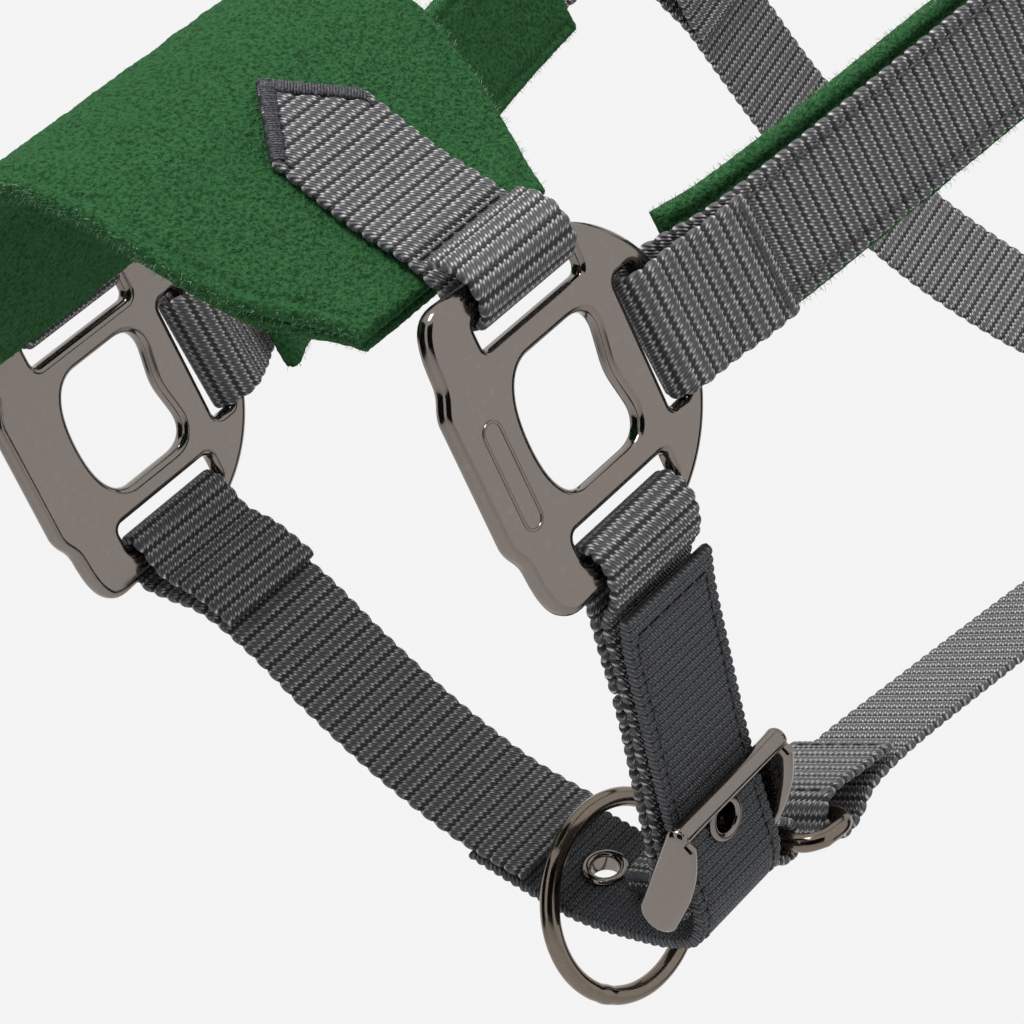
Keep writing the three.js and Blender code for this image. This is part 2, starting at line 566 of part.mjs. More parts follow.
const crownStayPath = [
  [95.9, 46], [95.2, 36], [94.6, 28],
  ...turn([CHEEK_RING.x, ringEdge - 4.4], [ringWrap, ringWrap], 180, 360, 9),
  [99.2, 28], [98.4, 36], [98.9, 50], [100.3, 64],
  ...turn(CROWN_HINGE, [3.35, 3.35], 0, 180, 9),
  [96.0, 66], [96.5, 50.5],
];
const crownPath = [
  [101.4, 33], [101.9, 44], [103.0, 56], [104.3, 68], [104.4, 77], [103.0, 87], [100.9, 97], [96.5, 115],
  [84, 148], [52, 180], [0, CROWN_TOP], [-52, 180], [-84, 148], [-96.5, 115], [-99.4, 90], [-99.6, 60],
  [-98.4, 36], [-99.4, 28],
  ...turn([-CHEEK_RING.x, ringEdge - 4.4], [ringWrap, ringWrap], 180, 360, 9),
  [-94.6, 28], [-95.4, 38], [-96.6, 58],
];
const crownLiningPath = [
  [88.6, 112], [77.6, 142.5], [48.4, 173.4], [0, 185.6], [-48.4, 173.4], [-77.6, 142.5], [-88.6, 112],
];
const crownLine = middleLine(crownPath);
const CROWN_EYELETS = [23, 47.2, 72, 96];

function crownStrap() {
  const strap = ribbon(crownLine, WEB_THICK, WEB_WIDTH);
  return cut(strap, ...CROWN_EYELETS.map((d) => drill(crownLine, d)));
}

function crownStay() {
  const strap = ribbon(middleLine(crownStayPath), WEB_THICK, WEB_WIDTH);
  const prongSlot = new THREE.BoxGeometry(10.6, 13.5, 5.4).translate(CROWN_HINGE[0] + 0.8, CROWN_HINGE[1] + 1.2, 0);
  return cut(strap, prongSlot);
}

function crownKeeper() {
  const outer = new THREE.Shape(points([[92.2, -14.8], [104.9, -14.8], [104.9, 14.8], [92.2, 14.8]]));
  outer.holes.push(new THREE.Path(points([[93.7, -13.3], [93.7, 13.3], [103.4, 13.3], [103.4, -13.3]])));
  const band = new THREE.ExtrudeGeometry(outer, { depth: 10, bevelEnabled: false });
  return band.rotateX(Math.PI / 2).translate(0, 47, 0);
}

addMesh('near_crown_stay', crownStay(), webbing, crown);
addMesh('crown_strap', crownStrap(), webbing, crown);
addMesh('crown_lining', ribbon(middleLine(crownLiningPath), 6, 44), fleece, crown);
addMesh('crown_keeper', crownKeeper(), webbing, crown);
const inCrown = new THREE.Matrix4();
CROWN_EYELETS.forEach((d, i) => addEyelet(`crown_eyelet_${i + 1}`, crownLine, d, WEB_THICK, inCrown, crown));
addMesh('crown_buckle_frame', buckleFrame(CROWN_HINGE, CROWN_FRONT_BAR, 5), gunmetal, crown);
const crownProngPin = [[100.1, 77.2], [102.8, 79.5], [105.6, 80.8], [107.6, 84.4], [108.2, 91], [107.8, 99]];
addMesh('crown_buckle_prong', buckleProng(CROWN_HINGE, crownProngPin, 1.0), gunmetal, crown);

// ---------------------------------------------------------------- carried pose
// The poll seat, the middle of the crown lining's underside, becomes the origin.
const seat = CROWN_TOP - 9.4;
const poll = new THREE.Vector3(
  0, CHEEK_RING.y + Math.cos(CROWN_TILT) * seat, CHEEK_RING.z + Math.sin(CROWN_TILT) * seat);
poll.applyAxisAngle(new THREE.Vector3(1, 0, 0), HEAD_TILT);
halter.rotation.x = HEAD_TILT;
halter.position.copy(poll.negate());

const part = new THREE.Group();
part.add(halter);
export default part;
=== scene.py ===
import math

import bpy
import numpy as np
from mathutils import Matrix, Vector, noise


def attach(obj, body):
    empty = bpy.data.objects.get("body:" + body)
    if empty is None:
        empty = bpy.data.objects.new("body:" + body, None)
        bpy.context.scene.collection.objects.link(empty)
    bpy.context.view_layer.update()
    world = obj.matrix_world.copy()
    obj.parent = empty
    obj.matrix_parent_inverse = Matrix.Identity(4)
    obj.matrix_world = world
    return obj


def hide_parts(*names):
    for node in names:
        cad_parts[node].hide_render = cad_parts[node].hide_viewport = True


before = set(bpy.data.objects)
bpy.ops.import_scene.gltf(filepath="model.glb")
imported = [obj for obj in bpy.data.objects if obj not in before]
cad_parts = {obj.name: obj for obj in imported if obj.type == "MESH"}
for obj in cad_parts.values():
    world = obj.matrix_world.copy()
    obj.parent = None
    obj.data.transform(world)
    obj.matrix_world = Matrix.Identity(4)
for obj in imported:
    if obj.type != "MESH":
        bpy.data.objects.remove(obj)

# ---------------------------------------------------------------- driving dimensions, in millimetres
MM = 0.001
UV_UNIT = 100.0  # one unit of a strap's UV map is this many millimetres
HEAD_TILT = math.radians(33)
WEB_WIDTH = 25
WEB_THICK = 1.9
BILLET_THICK = 2.6
FLEECE_THICK = 3.2
SQUARE_X = 64
SQUARE_THICK = 4
SQUARE_BEVEL = 1.6
SLOT_BAR_CENTRE = 27.5
SLOT_LENGTH = 27
CHEEK_RING = {"x": 97, "y": 215, "z": 11, "radius": 21, "wire": 2.2}
CHIN_RING = {"x": 13, "y": 1.2, "z": -112, "radius": 19.1, "wire": 1.9}
THROAT_TILT = math.radians(14)
CROWN_TILT = math.radians(20)
CROWN_TOP = 192
SEAT_DROP = 9.4
EYELET = {"hole": 2.8, "barrel": 3.2, "flange": 4.7, "lip": 0.5, "gap": 0.6}
RIB_PITCH = 3.4
BILLET_PITCH = 2.1
ROOT = "webbing_and_plates"

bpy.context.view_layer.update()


# ---------------------------------------------------------------- places and axes
def turned(axis, angle):
    return Matrix.Rotation(angle, 4, axis)


def moved(x, y, z):
    return Matrix.Translation((x, y, z))


poll = turned("X", HEAD_TILT) @ Vector((
    0,
    CHEEK_RING["y"] + math.cos(CROWN_TILT) * (CROWN_TOP - SEAT_DROP),
    CHEEK_RING["z"] + math.sin(CROWN_TILT) * (CROWN_TOP - SEAT_DROP),
))
# Head axes in millimetres (x to the near side, y towards the poll, z out of the face) to the row frame.
HEAD = Matrix.Scale(MM, 4) @ moved(*-poll) @ turned("X", HEAD_TILT)
# Each of these takes a section's (a, b, width) to head axes.
ACROSS_HEAD = turned("X", math.pi / 2)
SAGITTAL = Matrix(((0, 0, 1, 0), (1, 0, 0, 0), (0, 1, 0, 0), (0, 0, 0, 1)))
AT_RINGS = moved(0, CHEEK_RING["y"], CHEEK_RING["z"])
THROAT = AT_RINGS @ turned("X", -math.pi / 2 + THROAT_TILT)
CROWN = AT_RINGS @ turned("X", CROWN_TILT)
JAW = moved(30.5, 0, 0) @ turned("Z", math.radians(5))
TAB_ROLL = moved(0, 0, -108.9) @ turned("Y", math.radians(4.7)) @ moved(0, 0, 108.9)
CHEEK_LIFT = (
    moved(0, SLOT_BAR_CENTRE, 0)
    @ turned("X", math.atan2(CHEEK_RING["z"], CHEEK_RING["y"] - SLOT_BAR_CENTRE))
    @ moved(0, -SLOT_BAR_CENTRE, 0)
)
MIRROR = Matrix.Diagonal((-1, 1, 1, 1))


# ---------------------------------------------------------------- shader graphs
class Graph:
    """A material's node tree, built with short calls."""

    def __init__(self, name):
        self.material = bpy.data.materials.new(name)
        self.material.use_nodes = True
        self.tree = self.material.node_tree
        self.shader = self.tree.nodes["Principled BSDF"]

    def node(self, kind, **settings):
        made = self.tree.nodes.new(kind)
        for key, value in settings.items():
            setattr(made, key, value)
        return made

    def put(self, socket, value):
        if isinstance(value, bpy.types.NodeSocket):
            self.tree.links.new(value, socket)
        else:
            socket.default_value = value

    def math(self, operation, *values):
        made = self.node("ShaderNodeMath", operation=operation)
        for socket, value in zip(made.inputs, values):
            self.put(socket, value)
        return made.outputs[0]

    def mix(self, factor, a, b):
        made = self.node("ShaderNodeMix", data_type="RGBA")
        self.put(made.inputs[0], factor)
        self.put(made.inputs[6], a)
        self.put(made.inputs[7], b)
        return made.outputs[2]

    def ramp(self, value, low, high, start=0.0, end=1.0):
        made = self.node("ShaderNodeMapRange", interpolation_type="SMOOTHSTEP")
        for socket, number in zip(made.inputs, (value, low, high, start, end)):
            self.put(socket, number)
        return made.outputs[0]

    def noise(self, vector, scale, detail=2.0, roughness=0.5):
        made = self.node("ShaderNodeTexNoise")
        self.put(made.inputs["Vector"], vector)
        made.inputs["Scale"].default_value = scale
        made.inputs["Detail"].default_value = detail
        made.inputs["Roughness"].default_value = roughness
        return made.outputs["Fac"]

    def place(self, output="Object"):
        return self.node("ShaderNodeTexCoord").outputs[output]

    def strap_place(self):
        """Distances along and across a strap, in millimetres."""
        split = self.node("ShaderNodeSeparateXYZ")
        self.put(split.inputs[0], self.node("ShaderNodeUVMap").outputs[0])
        return (
            self.math("MULTIPLY", split.outputs[0], UV_UNIT),
            self.math("MULTIPLY", split.outputs[1], UV_UNIT),
        )

    def bump(self, height, distance, strength=1.0):
        made = self.node("ShaderNodeBump")
        made.inputs["Strength"].default_value = strength
        made.inputs["Distance"].default_value = distance * MM
        self.put(made.inputs["Height"], height)
        self.put(self.shader.inputs["Normal"], made.outputs[0])

    def set(self, **values):
        for key, value in values.items():
            self.put(self.shader.inputs[key.replace("_", " ")], value)
        return self.material


def colour(r, g, b):
    """A linear colour from the 0 to 255 values of the screen."""
    return tuple(((v / 255 + 0.055) / 1.055) ** 2.4 if v > 10 else v / 255 / 12.92 for v in (r, g, b)) + (1,)


def webbing_material(name, pitch, yarn, dark, body, painted_glint, depth):
    """Woven webbing: cross ribs over which slanted yarns float, dipping between the ribs by turns, with
    painted highlights on the rib shoulders and painted shade in the grooves and hollows.
    """
    g = Graph(name)
    s, t = g.strap_place()
    step = g.math("SUBTRACT", g.math("FRACT", g.math("DIVIDE", s, pitch)), 0.5)
    slanted = g.math("ADD", t, g.math("MULTIPLY", step, 0.55 * pitch))
    wobble = g.math("MULTIPLY", g.noise(g.place(), 260), 0.5)
    slanted = g.math("ADD", slanted, wobble)
    by_turns = g.math("SINE", g.math("MULTIPLY", slanted, math.pi / yarn))
    rib = g.math("ADD", g.math("DIVIDE", s, pitch), g.math("MULTIPLY", by_turns, 0.06))
    rise = g.math("ABSOLUTE", g.math("SINE", g.math("MULTIPLY", rib, math.pi)))
    ridge = g.math("ABSOLUTE", by_turns)
    hollow = g.ramp(rise, 0.08, 0.5, 1.0, 0.0)
    groove = g.ramp(ridge, 0.0, 0.45, 0.5, 0.0)
    # Painted highlight: the rib shoulders under the yarn crests get the glint colour painted into the base
    # colour.
    shoulder = g.math("MULTIPLY", g.ramp(rise, 0.35, 0.6), g.ramp(rise, 0.97, 0.7))
    streak = g.noise(g.place(), 1500, 3.0)
    painted_glint_mask = g.math("MULTIPLY", g.math("MULTIPLY", shoulder, ridge), g.ramp(streak, 0.3, 0.62, 0.25, 1.0))
    tone = g.mix(g.ramp(streak, 0.25, 0.75, 0.0, 0.45), body, dark)
    tone = g.mix(painted_glint_mask, tone, painted_glint)
    # Painted shade: the yarn grooves and the hollows between the ribs are darkened towards the dark colour.
    tone = g.mix(g.math("MULTIPLY", groove, 0.8), tone, dark)
    tone = g.mix(g.math("MULTIPLY", hollow, 0.85), tone, dark)
    height = g.math("SUBTRACT", g.math("MULTIPLY", ridge, 0.5), g.math("MULTIPLY", hollow, 0.9))
    g.bump(g.math("ADD", height, g.math("MULTIPLY", streak, 0.25)), depth)
    return g.set(
        Base_Color=tone, Roughness=0.6, Specular_IOR_Level=0.42, Sheen_Weight=0.12, Sheen_Roughness=0.4,
    )


def fleece_material():
    """Short curly pile: pebbled, matt, with painted shade between its tufts."""
    g = Graph("fleece")
    tufts = g.noise(g.place(), 1250, 2.0, 0.55)
    fibres = g.noise(g.place(), 3600, 2.0, 0.6)
    patches = g.noise(g.place(), 90, 2.0)
    # Painted shade: the tuft noise that raises the bump also darkens the colour between the tufts.
    tone = g.mix(g.ramp(tufts, 0.3, 0.62), colour(28, 64, 34), colour(52, 101, 59))
    tone = g.mix(g.ramp(fibres, 0.5, 0.8, 0.0, 0.4), tone, colour(96, 142, 98))
    tone = g.mix(g.ramp(patches, 0.35, 0.75, 0.0, 0.15), tone, colour(36, 80, 44))
    height = g.math("ADD", tufts, g.math("MULTIPLY", fibres, 0.3))
    g.bump(height, 1.2)
    return g.set(Base_Color=tone, Roughness=0.95, Specular_IOR_Level=0.1, Sheen_Weight=0.12,
                 Sheen_Roughness=0.5, Sheen_Tint=colour(90, 160, 100))


def pile_material(name, root, tip):
    """Single fibres that stand out of a cut edge."""
    g = Graph(name)
    tone = g.mix(g.ramp(g.noise(g.place(), 900), 0.35, 0.65), root, tip)
    return g.set(Base_Color=tone, Roughness=0.9, Sheen_Weight=0.4, Specular_IOR_Level=0.1)


def thread_material(name, dark, light):
    g = Graph(name)
    twist = g.noise(g.place(), 2600, 2.0)
    g.bump(twist, 0.12)
    return g.set(Base_Color=g.mix(g.ramp(twist, 0.4, 0.65), dark, light), Roughness=0.6)


def metal_material(name, face, worn, roughness, wave):
    """Polished dark plating with faint casting waves and rubbed streaks."""
    g = Graph(name)
    waves = g.noise(g.place(), wave, 2.0)
    rubbed = g.noise(g.place(), 700, 4.0, 0.7)
    g.bump(g.math("ADD", waves, g.math("MULTIPLY", rubbed, 0.02)), 0.35, 0.5)
    tone = g.mix(g.ramp(rubbed, 0.5, 0.8, 0.0, 0.5), face, worn)
    gloss = g.ramp(rubbed, 0.35, 0.8, roughness * 0.8, roughness * 1.5)
    return g.set(Base_Color=tone, Metallic=1.0, Roughness=gloss)


# In each set the glint colour is a painted highlight, and the dark colour serves both the random streaks and
# the painted shade in the grooves and hollows.
CHARCOAL = dict(dark=colour(20, 21, 25), body=colour(98, 98, 103), painted_glint=colour(222, 217, 213))
SLATE = dict(dark=colour(18, 20, 24), body=colour(70, 72, 77), painted_glint=colour(122, 124, 128))
webbing = webbing_material("webbing", RIB_PITCH, 0.66, depth=0.55, **CHARCOAL)
billet_cloth = webbing_material("billet_webbing", BILLET_PITCH, 0.6, depth=0.6, **SLATE)
fleece = fleece_material()
pile = pile_material("fleece_edge_fibres", colour(60, 128, 74), colour(172, 198, 160))
thread = thread_material("stitching", colour(44, 46, 51), colour(92, 92, 97))
casting = metal_material("gunmetal_casting", (0.235, 0.205, 0.185, 1), (0.30, 0.27, 0.25, 1), 0.13, 45)
wire = metal_material("gunmetal_wire", (0.20, 0.165, 0.135, 1), (0.33, 0.27, 0.21, 1), 0.14, 90)


# ---------------------------------------------------------------- meshes
def add_object(name, points, faces, material, place=HEAD, uv=None):
    """A smooth-shaded mesh object. points are in the axes that place takes to the row frame."""
    points = np.asarray(points, float)
    matrix = np.array(place)
    points = points @ matrix[:3, :3].T + matrix[:3, 3]
    if np.linalg.det(matrix[:3, :3]) < 0:
        faces = [face[::-1] for face in faces]
    mesh = bpy.data.meshes.new(name)
    mesh.from_pydata(points.tolist(), [], [tuple(face) for face in faces])
    if uv is not None:
        layer = mesh.uv_layers.new(name="UVMap")
        loops = np.empty(len(mesh.loops), int)
        mesh.loops.foreach_get("vertex_index", loops)
        layer.data.foreach_set("uv", np.asarray(uv, float)[loops].ravel())
    mesh.shade_smooth()
    mesh.materials.append(material)
    made = bpy.data.objects.new(name, mesh)
    bpy.context.scene.collection.objects.link(made)
    return made


def declare(piece, body=ROOT, node=None):
    """The piece moves with the body and stands for the node."""
    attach(piece, body)
    if node:
        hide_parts(node)
    return piece


def smooth_path(knots, step):
    """Evenly spaced points on a centripetal Catmull-Rom curve through the knots."""
    p = np.array(knots, float)
    p = np.vstack([2 * p[0] - p[1], p, 2 * p[-1] - p[-2]])
    u = np.linspace(0, 1, 40, endpoint=False)[:, None]
    pieces = []
    for a, b, c, d in zip(p, p[1:], p[2:], p[3:]):
        ab, bc, cd = (max(math.sqrt(np.linalg.norm(v)), 1e-4) for v in (b - a, c - b, d - c))
        start = ((b - a) / ab - (c - a) / (ab + bc) + (c - b) / bc) * bc
        end = ((c - b) / bc - (d - b) / (bc + cd) + (d - c) / cd) * bc
        square = 3 * (c - b) - 2 * start - end
        cube = 2 * (b - c) + start + end
        pieces.append(b + u * start + u**2 * square + u**3 * cube)
    fine = np.vstack(pieces + [p[-2][None]])
    run = np.concatenate([[0], np.cumsum(np.linalg.norm(np.diff(fine, axis=0), axis=1))])
    count = max(int(run[-1] / step), 2)
    at = np.linspace(0, run[-1], count + 1)
    return np.stack([np.interp(at, run, fine[:, k]) for k in range(p.shape[1])], 1), at


def turn(centre, radii, start, end, count=9):
    """Points of a turn round a bar: an elliptical arc between two angles in degrees."""
    angles = np.radians(np.linspace(start, end, count))
    return [[centre[0] + radii[0] * math.cos(x), centre[1] + radii[1] * math.sin(x)] for x in angles]


def tube_mesh(path, radii, sides=10, closed=False):
    """Points and faces of a round tube along a 3-D path. radii is one radius or one for each point."""
    path = np.asarray(path, float)
    count = len(path)
    radii = np.broadcast_to(np.asarray(radii, float), (count,))
    if closed:
        along = np.roll(path, -1, 0) - np.roll(path, 1, 0)
    else:
        along = np.gradient(path, axis=0)
    along /= np.linalg.norm(along, axis=1)[:, None]
    side = np.cross(along[0], [0.3, 0.5, 0.8])
    rings = []
    angles = np.linspace(0, 2 * math.pi, sides, endpoint=False)
    for point, direction, radius in zip(path, along, radii):
        side = side - direction * np.dot(side, direction)
        side /= np.linalg.norm(side)
        other = np.cross(direction, side)
        rings.append(point + radius * (np.outer(np.cos(angles), side) + np.outer(np.sin(angles), other)))
    faces = []
    for i in range(count if closed else count - 1):
        for j in range(sides):
            a, b = i * sides, (i + 1) % count * sides
            k = (j + 1) % sides
            faces.append((a + j, a + k, b + k, b + j))
    if not closed:
        faces.append(tuple(range(sides))[::-1])
        faces.append(tuple(range((count - 1) * sides, count * sides)))
    return np.vstack(rings), faces


def gather(parts):
    """Joins several (points, faces) pairs into one."""
    points, faces, start = [], [], 0
    for part_points, part_faces in parts:
        points.append(part_points)
        faces += [tuple(i + start for i in face) for face in part_faces]
        start += len(part_points)
    return np.vstack(points), faces


class Band:
    """A strap or pad swept along a section path: s runs along it and t across it, in millimetres.

    side is +1 for the face on the left of the path's direction and -1 for the other.
    """

    def __init__(self, knots, place, thick, low=-WEB_WIDTH / 2, high=WEB_WIDTH / 2, step=0.42, across=0.8,
                 pitch=None, depth=0.42, pebble=0.0, edge=0.9, end_edge=0.0, seams=(), holes=()):
        self.line, self.s = smooth_path(knots, step)
        along = np.gradient(self.line, axis=0)
        along /= np.linalg.norm(along, axis=1)[:, None]
        self.normal = np.stack([-along[:, 1], along[:, 0]], 1)
        self.place = HEAD @ place
        self.thick = thick
        self.low, self.high = self.along(low), self.along(high)
        self.across = across
        self.pitch, self.depth, self.pebble = pitch, depth, pebble
        self.edge, self.end_edge = edge, end_edge
        self.seams, self.holes = seams, holes

    def along(self, edge):
        """An edge's place across the band at each step. edge is a number or a function of s."""
        if callable(edge):
            return np.array([edge(x) for x in self.s])
        return np.full(len(self.s), float(edge))

    def base(self, s, t, side, lift=0.0):
        """A point over a face of the band, in the section's axes."""
        at = np.array([np.interp(s, self.s, self.line[:, k]) for k in (0, 1)])
        out = np.array([np.interp(s, self.s, self.normal[:, k]) for k in (0, 1)])
        at = at + side * out * (self.thick / 2 + lift)
        return np.array([at[0], at[1], t])

    def half(self, s, t, low, high):
        """Half the band's thickness, rounded off towards its edges."""
        inset = np.minimum(t - low, high - t)
        soft = np.sqrt(np.clip(1 - (1 - np.clip(inset / self.edge, 0, 1)) ** 2, 0, 1))
        if self.end_edge:
            end = np.minimum(s, self.s[-1] - s)
            soft = np.minimum(soft, np.sqrt(np.clip(1 - (1 - np.clip(end / self.end_edge, 0, 1)) ** 2, 0, 1)))
        return self.thick / 2 * (0.28 + 0.72 * soft)

    def groove(self, s, t, side):
        """How far the stitched seams pull the face in."""
        pull = np.zeros_like(s)
        for seam in self.seams:
            if seam.get("side", side) != side:
                continue
            for (s0, t0), (s1, t1) in zip(seam["path"], seam["path"][1:]):
                length = math.hypot(s1 - s0, t1 - t0)
                u = np.clip(((s - s0) * (s1 - s0) + (t - t0) * (t1 - t0)) / length**2, 0, 1)
                gap = np.hypot(s - s0 - u * (s1 - s0), t - t0 - u * (t1 - t0))
                depth = seam.get("pull", 0.3) * np.exp(-((gap / seam.get("reach", 0.7)) ** 2))
                pull = np.maximum(pull, depth)
        return pull

    def relief(self, s, t, side):
        lift = -self.groove(s, t, side)
        if self.pitch:
            lift += self.depth * (np.abs(np.sin(math.pi * s / self.pitch)) ** 0.6 - 0.85)
        if self.pebble:
            seed = 7.0 * side
            places = np.stack([s, t, np.full_like(s, seed)], -1).reshape(-1, 3)
            tufts = [noise.noise(Vector(p) / 1.15) + 0.45 * noise.noise(Vector(p) / 0.55)
                     + 0.9 * noise.noise(Vector(p) / 7.0) for p in places]
            lift += self.pebble * np.array(tufts).reshape(s.shape)
        return lift

    def build(self, name, material):
        rows = len(self.s)
        widest = float(np.max(self.high - self.low))
        inner = np.linspace(0, 1, max(int(widest / self.across), 4) + 1)
        near = np.array([0.15, 0.4, 0.75]) * self.edge / widest
        inner = inner[(inner > 1.2 * near[-1]) & (inner < 1 - 1.2 * near[-1])]
        f = np.concatenate([[0], near, inner, 1 - near[::-1], [1]])
        columns = len(f)
        low, high = self.low[:, None], self.high[:, None]
        t = low + (high - low) * f
        s = np.repeat(self.s[:, None], columns, 1)
        half = self.half(s, t, low, high)
        wide = t.copy()
        if self.pitch:
            weight = np.clip(1 - np.minimum(t - low, high - t) / 1.6, 0, 1)
            bulge = 0.42 * (np.abs(np.sin(math.pi * s / self.pitch)) ** 0.7 - 0.6)
            wide += np.sign(f - 0.5) * weight * bulge
        faces_of = []
        for side in (1, -1):
            out = half + self.relief(s, t, side)
            flat = self.line[:, None, :] + side * self.normal[:, None, :] * out[..., None]
            faces_of.append(np.concatenate([flat, wide[..., None]], 2).reshape(-1, 3))
        points = np.vstack(faces_of)
        uv = np.tile(np.stack([s, t], -1).reshape(-1, 2) / UV_UNIT, (2, 1))
        cells = np.ones((rows - 1, columns - 1), bool)
        for centre, radius in self.holes:
            mid_s = (s[1:, 1:] + s[:-1, :-1]) / 2 - centre
            mid_t = (t[1:, 1:] + t[:-1, :-1]) / 2
            cells &= np.hypot(mid_s, mid_t) > radius
        return add_object(name, points, self.faces(cells, rows, columns), material, self.place, uv)

    @staticmethod
    def faces(cells, rows, columns):
        """Both faces of the band and a wall along every border of the kept cells."""
        size = rows * columns
        index = np.arange(size).reshape(rows, columns)
        a, b, c, d = index[:-1, :-1], index[:-1, 1:], index[1:, 1:], index[1:, :-1]
        faces = np.stack([a, d, c, b], -1)[cells].tolist()
        faces += (np.stack([a, b, c, d], -1)[cells] + size).tolist()
        framed = np.pad(cells, 1)
        middle = framed[1:-1, 1:-1]
        for open_side, p, q in (
            (framed[:-2, 1:-1], a, b),
            (framed[1:-1, 2:], b, c),
            (framed[2:, 1:-1], c, d),
            (framed[1:-1, :-2], d, a),
        ):
            border = middle & ~open_side
            walls = np.stack([p, q, q + size, p + size], -1)[border]
            faces += walls.tolist()
        return faces

    def stitches(self, name, length=2.5, gap=0.75, radius=0.3):
        """The threads that show along every seam of the band."""
        parts = []
        for seam in self.seams:
            if not seam.get("thread", True):
                continue
            side = seam.get("side", 1)
            for (s0, t0), (s1, t1) in zip(seam["path"], seam["path"][1:]):
                total = math.hypot(s1 - s0, t1 - t0)
                count = max(round(total / (length + gap)), 1)
                for i in range(count):
                    u = (i + np.array([0.1, 0.22, 0.5, 0.78, 0.9])) / count
                    lifts = np.array([-0.45, -0.12, 0.02, -0.12, -0.45])
                    path = [self.base(s0 + (s1 - s0) * x, t0 + (t1 - t0) * x, side, lift)
                            for x, lift in zip(u, lifts)]
                    parts.append(tube_mesh(path, [radius * 0.7, radius, radius, radius, radius * 0.7], 6))
        points, faces = gather(parts)
        return add_object(name, points, faces, thread, self.place)

    def fibres(self, name, material, spacing, length, radius=0.045, seed=3):
        """Loose fibres that stand out of the band's long edges."""
        rng = np.random.default_rng(seed)
        parts = []
        for border, outward in ((self.low, -1), (self.high, 1)):
            for s in np.arange(0.5, self.s[-1] - 0.5, spacing):
                s += rng.uniform(-0.5, 0.5) * spacing
                t = float(np.interp(s, self.s, border)) - outward * rng.uniform(0.0, 0.8)
                depth = rng.uniform(-1, 1)
                reach = length * rng.uniform(0.4, 1.0)
                middle = -self.thick / 2
                level = middle + depth * self.thick * 0.36
                start = self.base(s, t, 1, level)
                out = self.base(s, t + outward, 1, middle + depth * (self.thick * 0.36 + 0.9))
                lean = self.base(s + rng.uniform(-0.8, 0.8), t, 1, level)
                bend = out - start + (lean - start)
                curl = (self.base(s + rng.uniform(-1, 1), t, 1, middle) - start) * 0.25
                path = [start, start + bend * reach * 0.55, start + bend * reach + curl * reach]
                parts.append(tube_mesh(path, [radius, radius * 0.8, radius * 0.25], 3))
        points, faces = gather(parts)
        return add_object(name, points, faces, material, self.place)


def strap(node, band, material=None, mirror=False, sewn=True):
    """A band's object and its stitching, standing for a CAD strap."""
    if mirror:
        band.place = HEAD @ MIRROR @ HEAD.inverted() @ band.place
    piece = declare(band.build(f"{node}_cloth", material or webbing), node=node)
    if sewn and band.seams:
        declare(band.stitches(f"{node}_stitching"))
    return piece


def pad(node, band, mirror=False, inset=3.0):
    """A fleece layer's object, topstitched near its edges, with the fibres of its cut edge."""
    at = np.linspace(inset, band.s[-1] - inset, 30)
    for border, outward in ((band.low, -1), (band.high, 1)):
        path = [(x, float(np.interp(x, band.s, border)) - outward * inset) for x in at]
        band.seams = (*band.seams, {"path": path, "pull": 0.55, "reach": 0.8})
    if mirror:
        band.place = HEAD @ MIRROR @ HEAD.inverted() @ band.place
    piece = declare(band.build(f"{node}_fleece", fleece), node=node)
    declare(band.fibres(f"{node}_fibres", pile, 0.16, 1.1))
    return piece


# ---------------------------------------------------------------- side squares
def arc_points(centre, radius, start, end, count):
    return turn(centre, (radius, radius), start, end, count)


def bezier(a, b, c, d, count=14):
    u = np.linspace(0, 1, count, endpoint=False)[:, None]
    a, b, c, d = (np.array(x, float) for x in (a, b, c, d))
    return ((1 - u) ** 3 * a + 3 * u * (1 - u) ** 2 * b + 3 * u**2 * (1 - u) * c + u**3 * d).tolist()


def square_outline():
    lower = bezier((-18.5, -30.4), (-24.5, -30.4), (-25.0, -24), (-25.2, -19))
    lower += bezier((-25.2, -19), (-25.4, -15.5), (-27.4, -15.5), (-27.6, -11.5))
    upper = [[p, -q] for p, q in lower[::-1]]
    return arc_points((0, 0), 30.8, 70, -70, 60) + lower + upper


def square_opening():
    half = bezier((-13.2, 0), (-13.2, -9), (-10, -13.2), (-5, -13.2))
    half += bezier((5.5, -13.2), (10, -13.2), (11.4, -10.5), (11, -7.5))
    half += bezier((11, -7.5), (10.2, -3), (9.8, -2), (9.8, 0))
    return half + [[p, -q] for p, q in half[:0:-1]]


def slot_outline(centre, deep, along_p):
    """A strap slot whose corners are rounded."""
    half, r = SLOT_LENGTH / 2, 1.6
    corners = []
    for x, y, start in ((half - r, deep / 2 - r, 0), (r - half, deep / 2 - r, 90),
                        (r - half, r - deep / 2, 180), (half - r, r - deep / 2, 270)):
        corners += arc_points((x, y), r, start, start + 90, 8)
    if along_p:
        return [[centre[0] + x, centre[1] + y] for x, y in corners]
    return [[centre[0] - y, centre[1] + x] for x, y in corners]


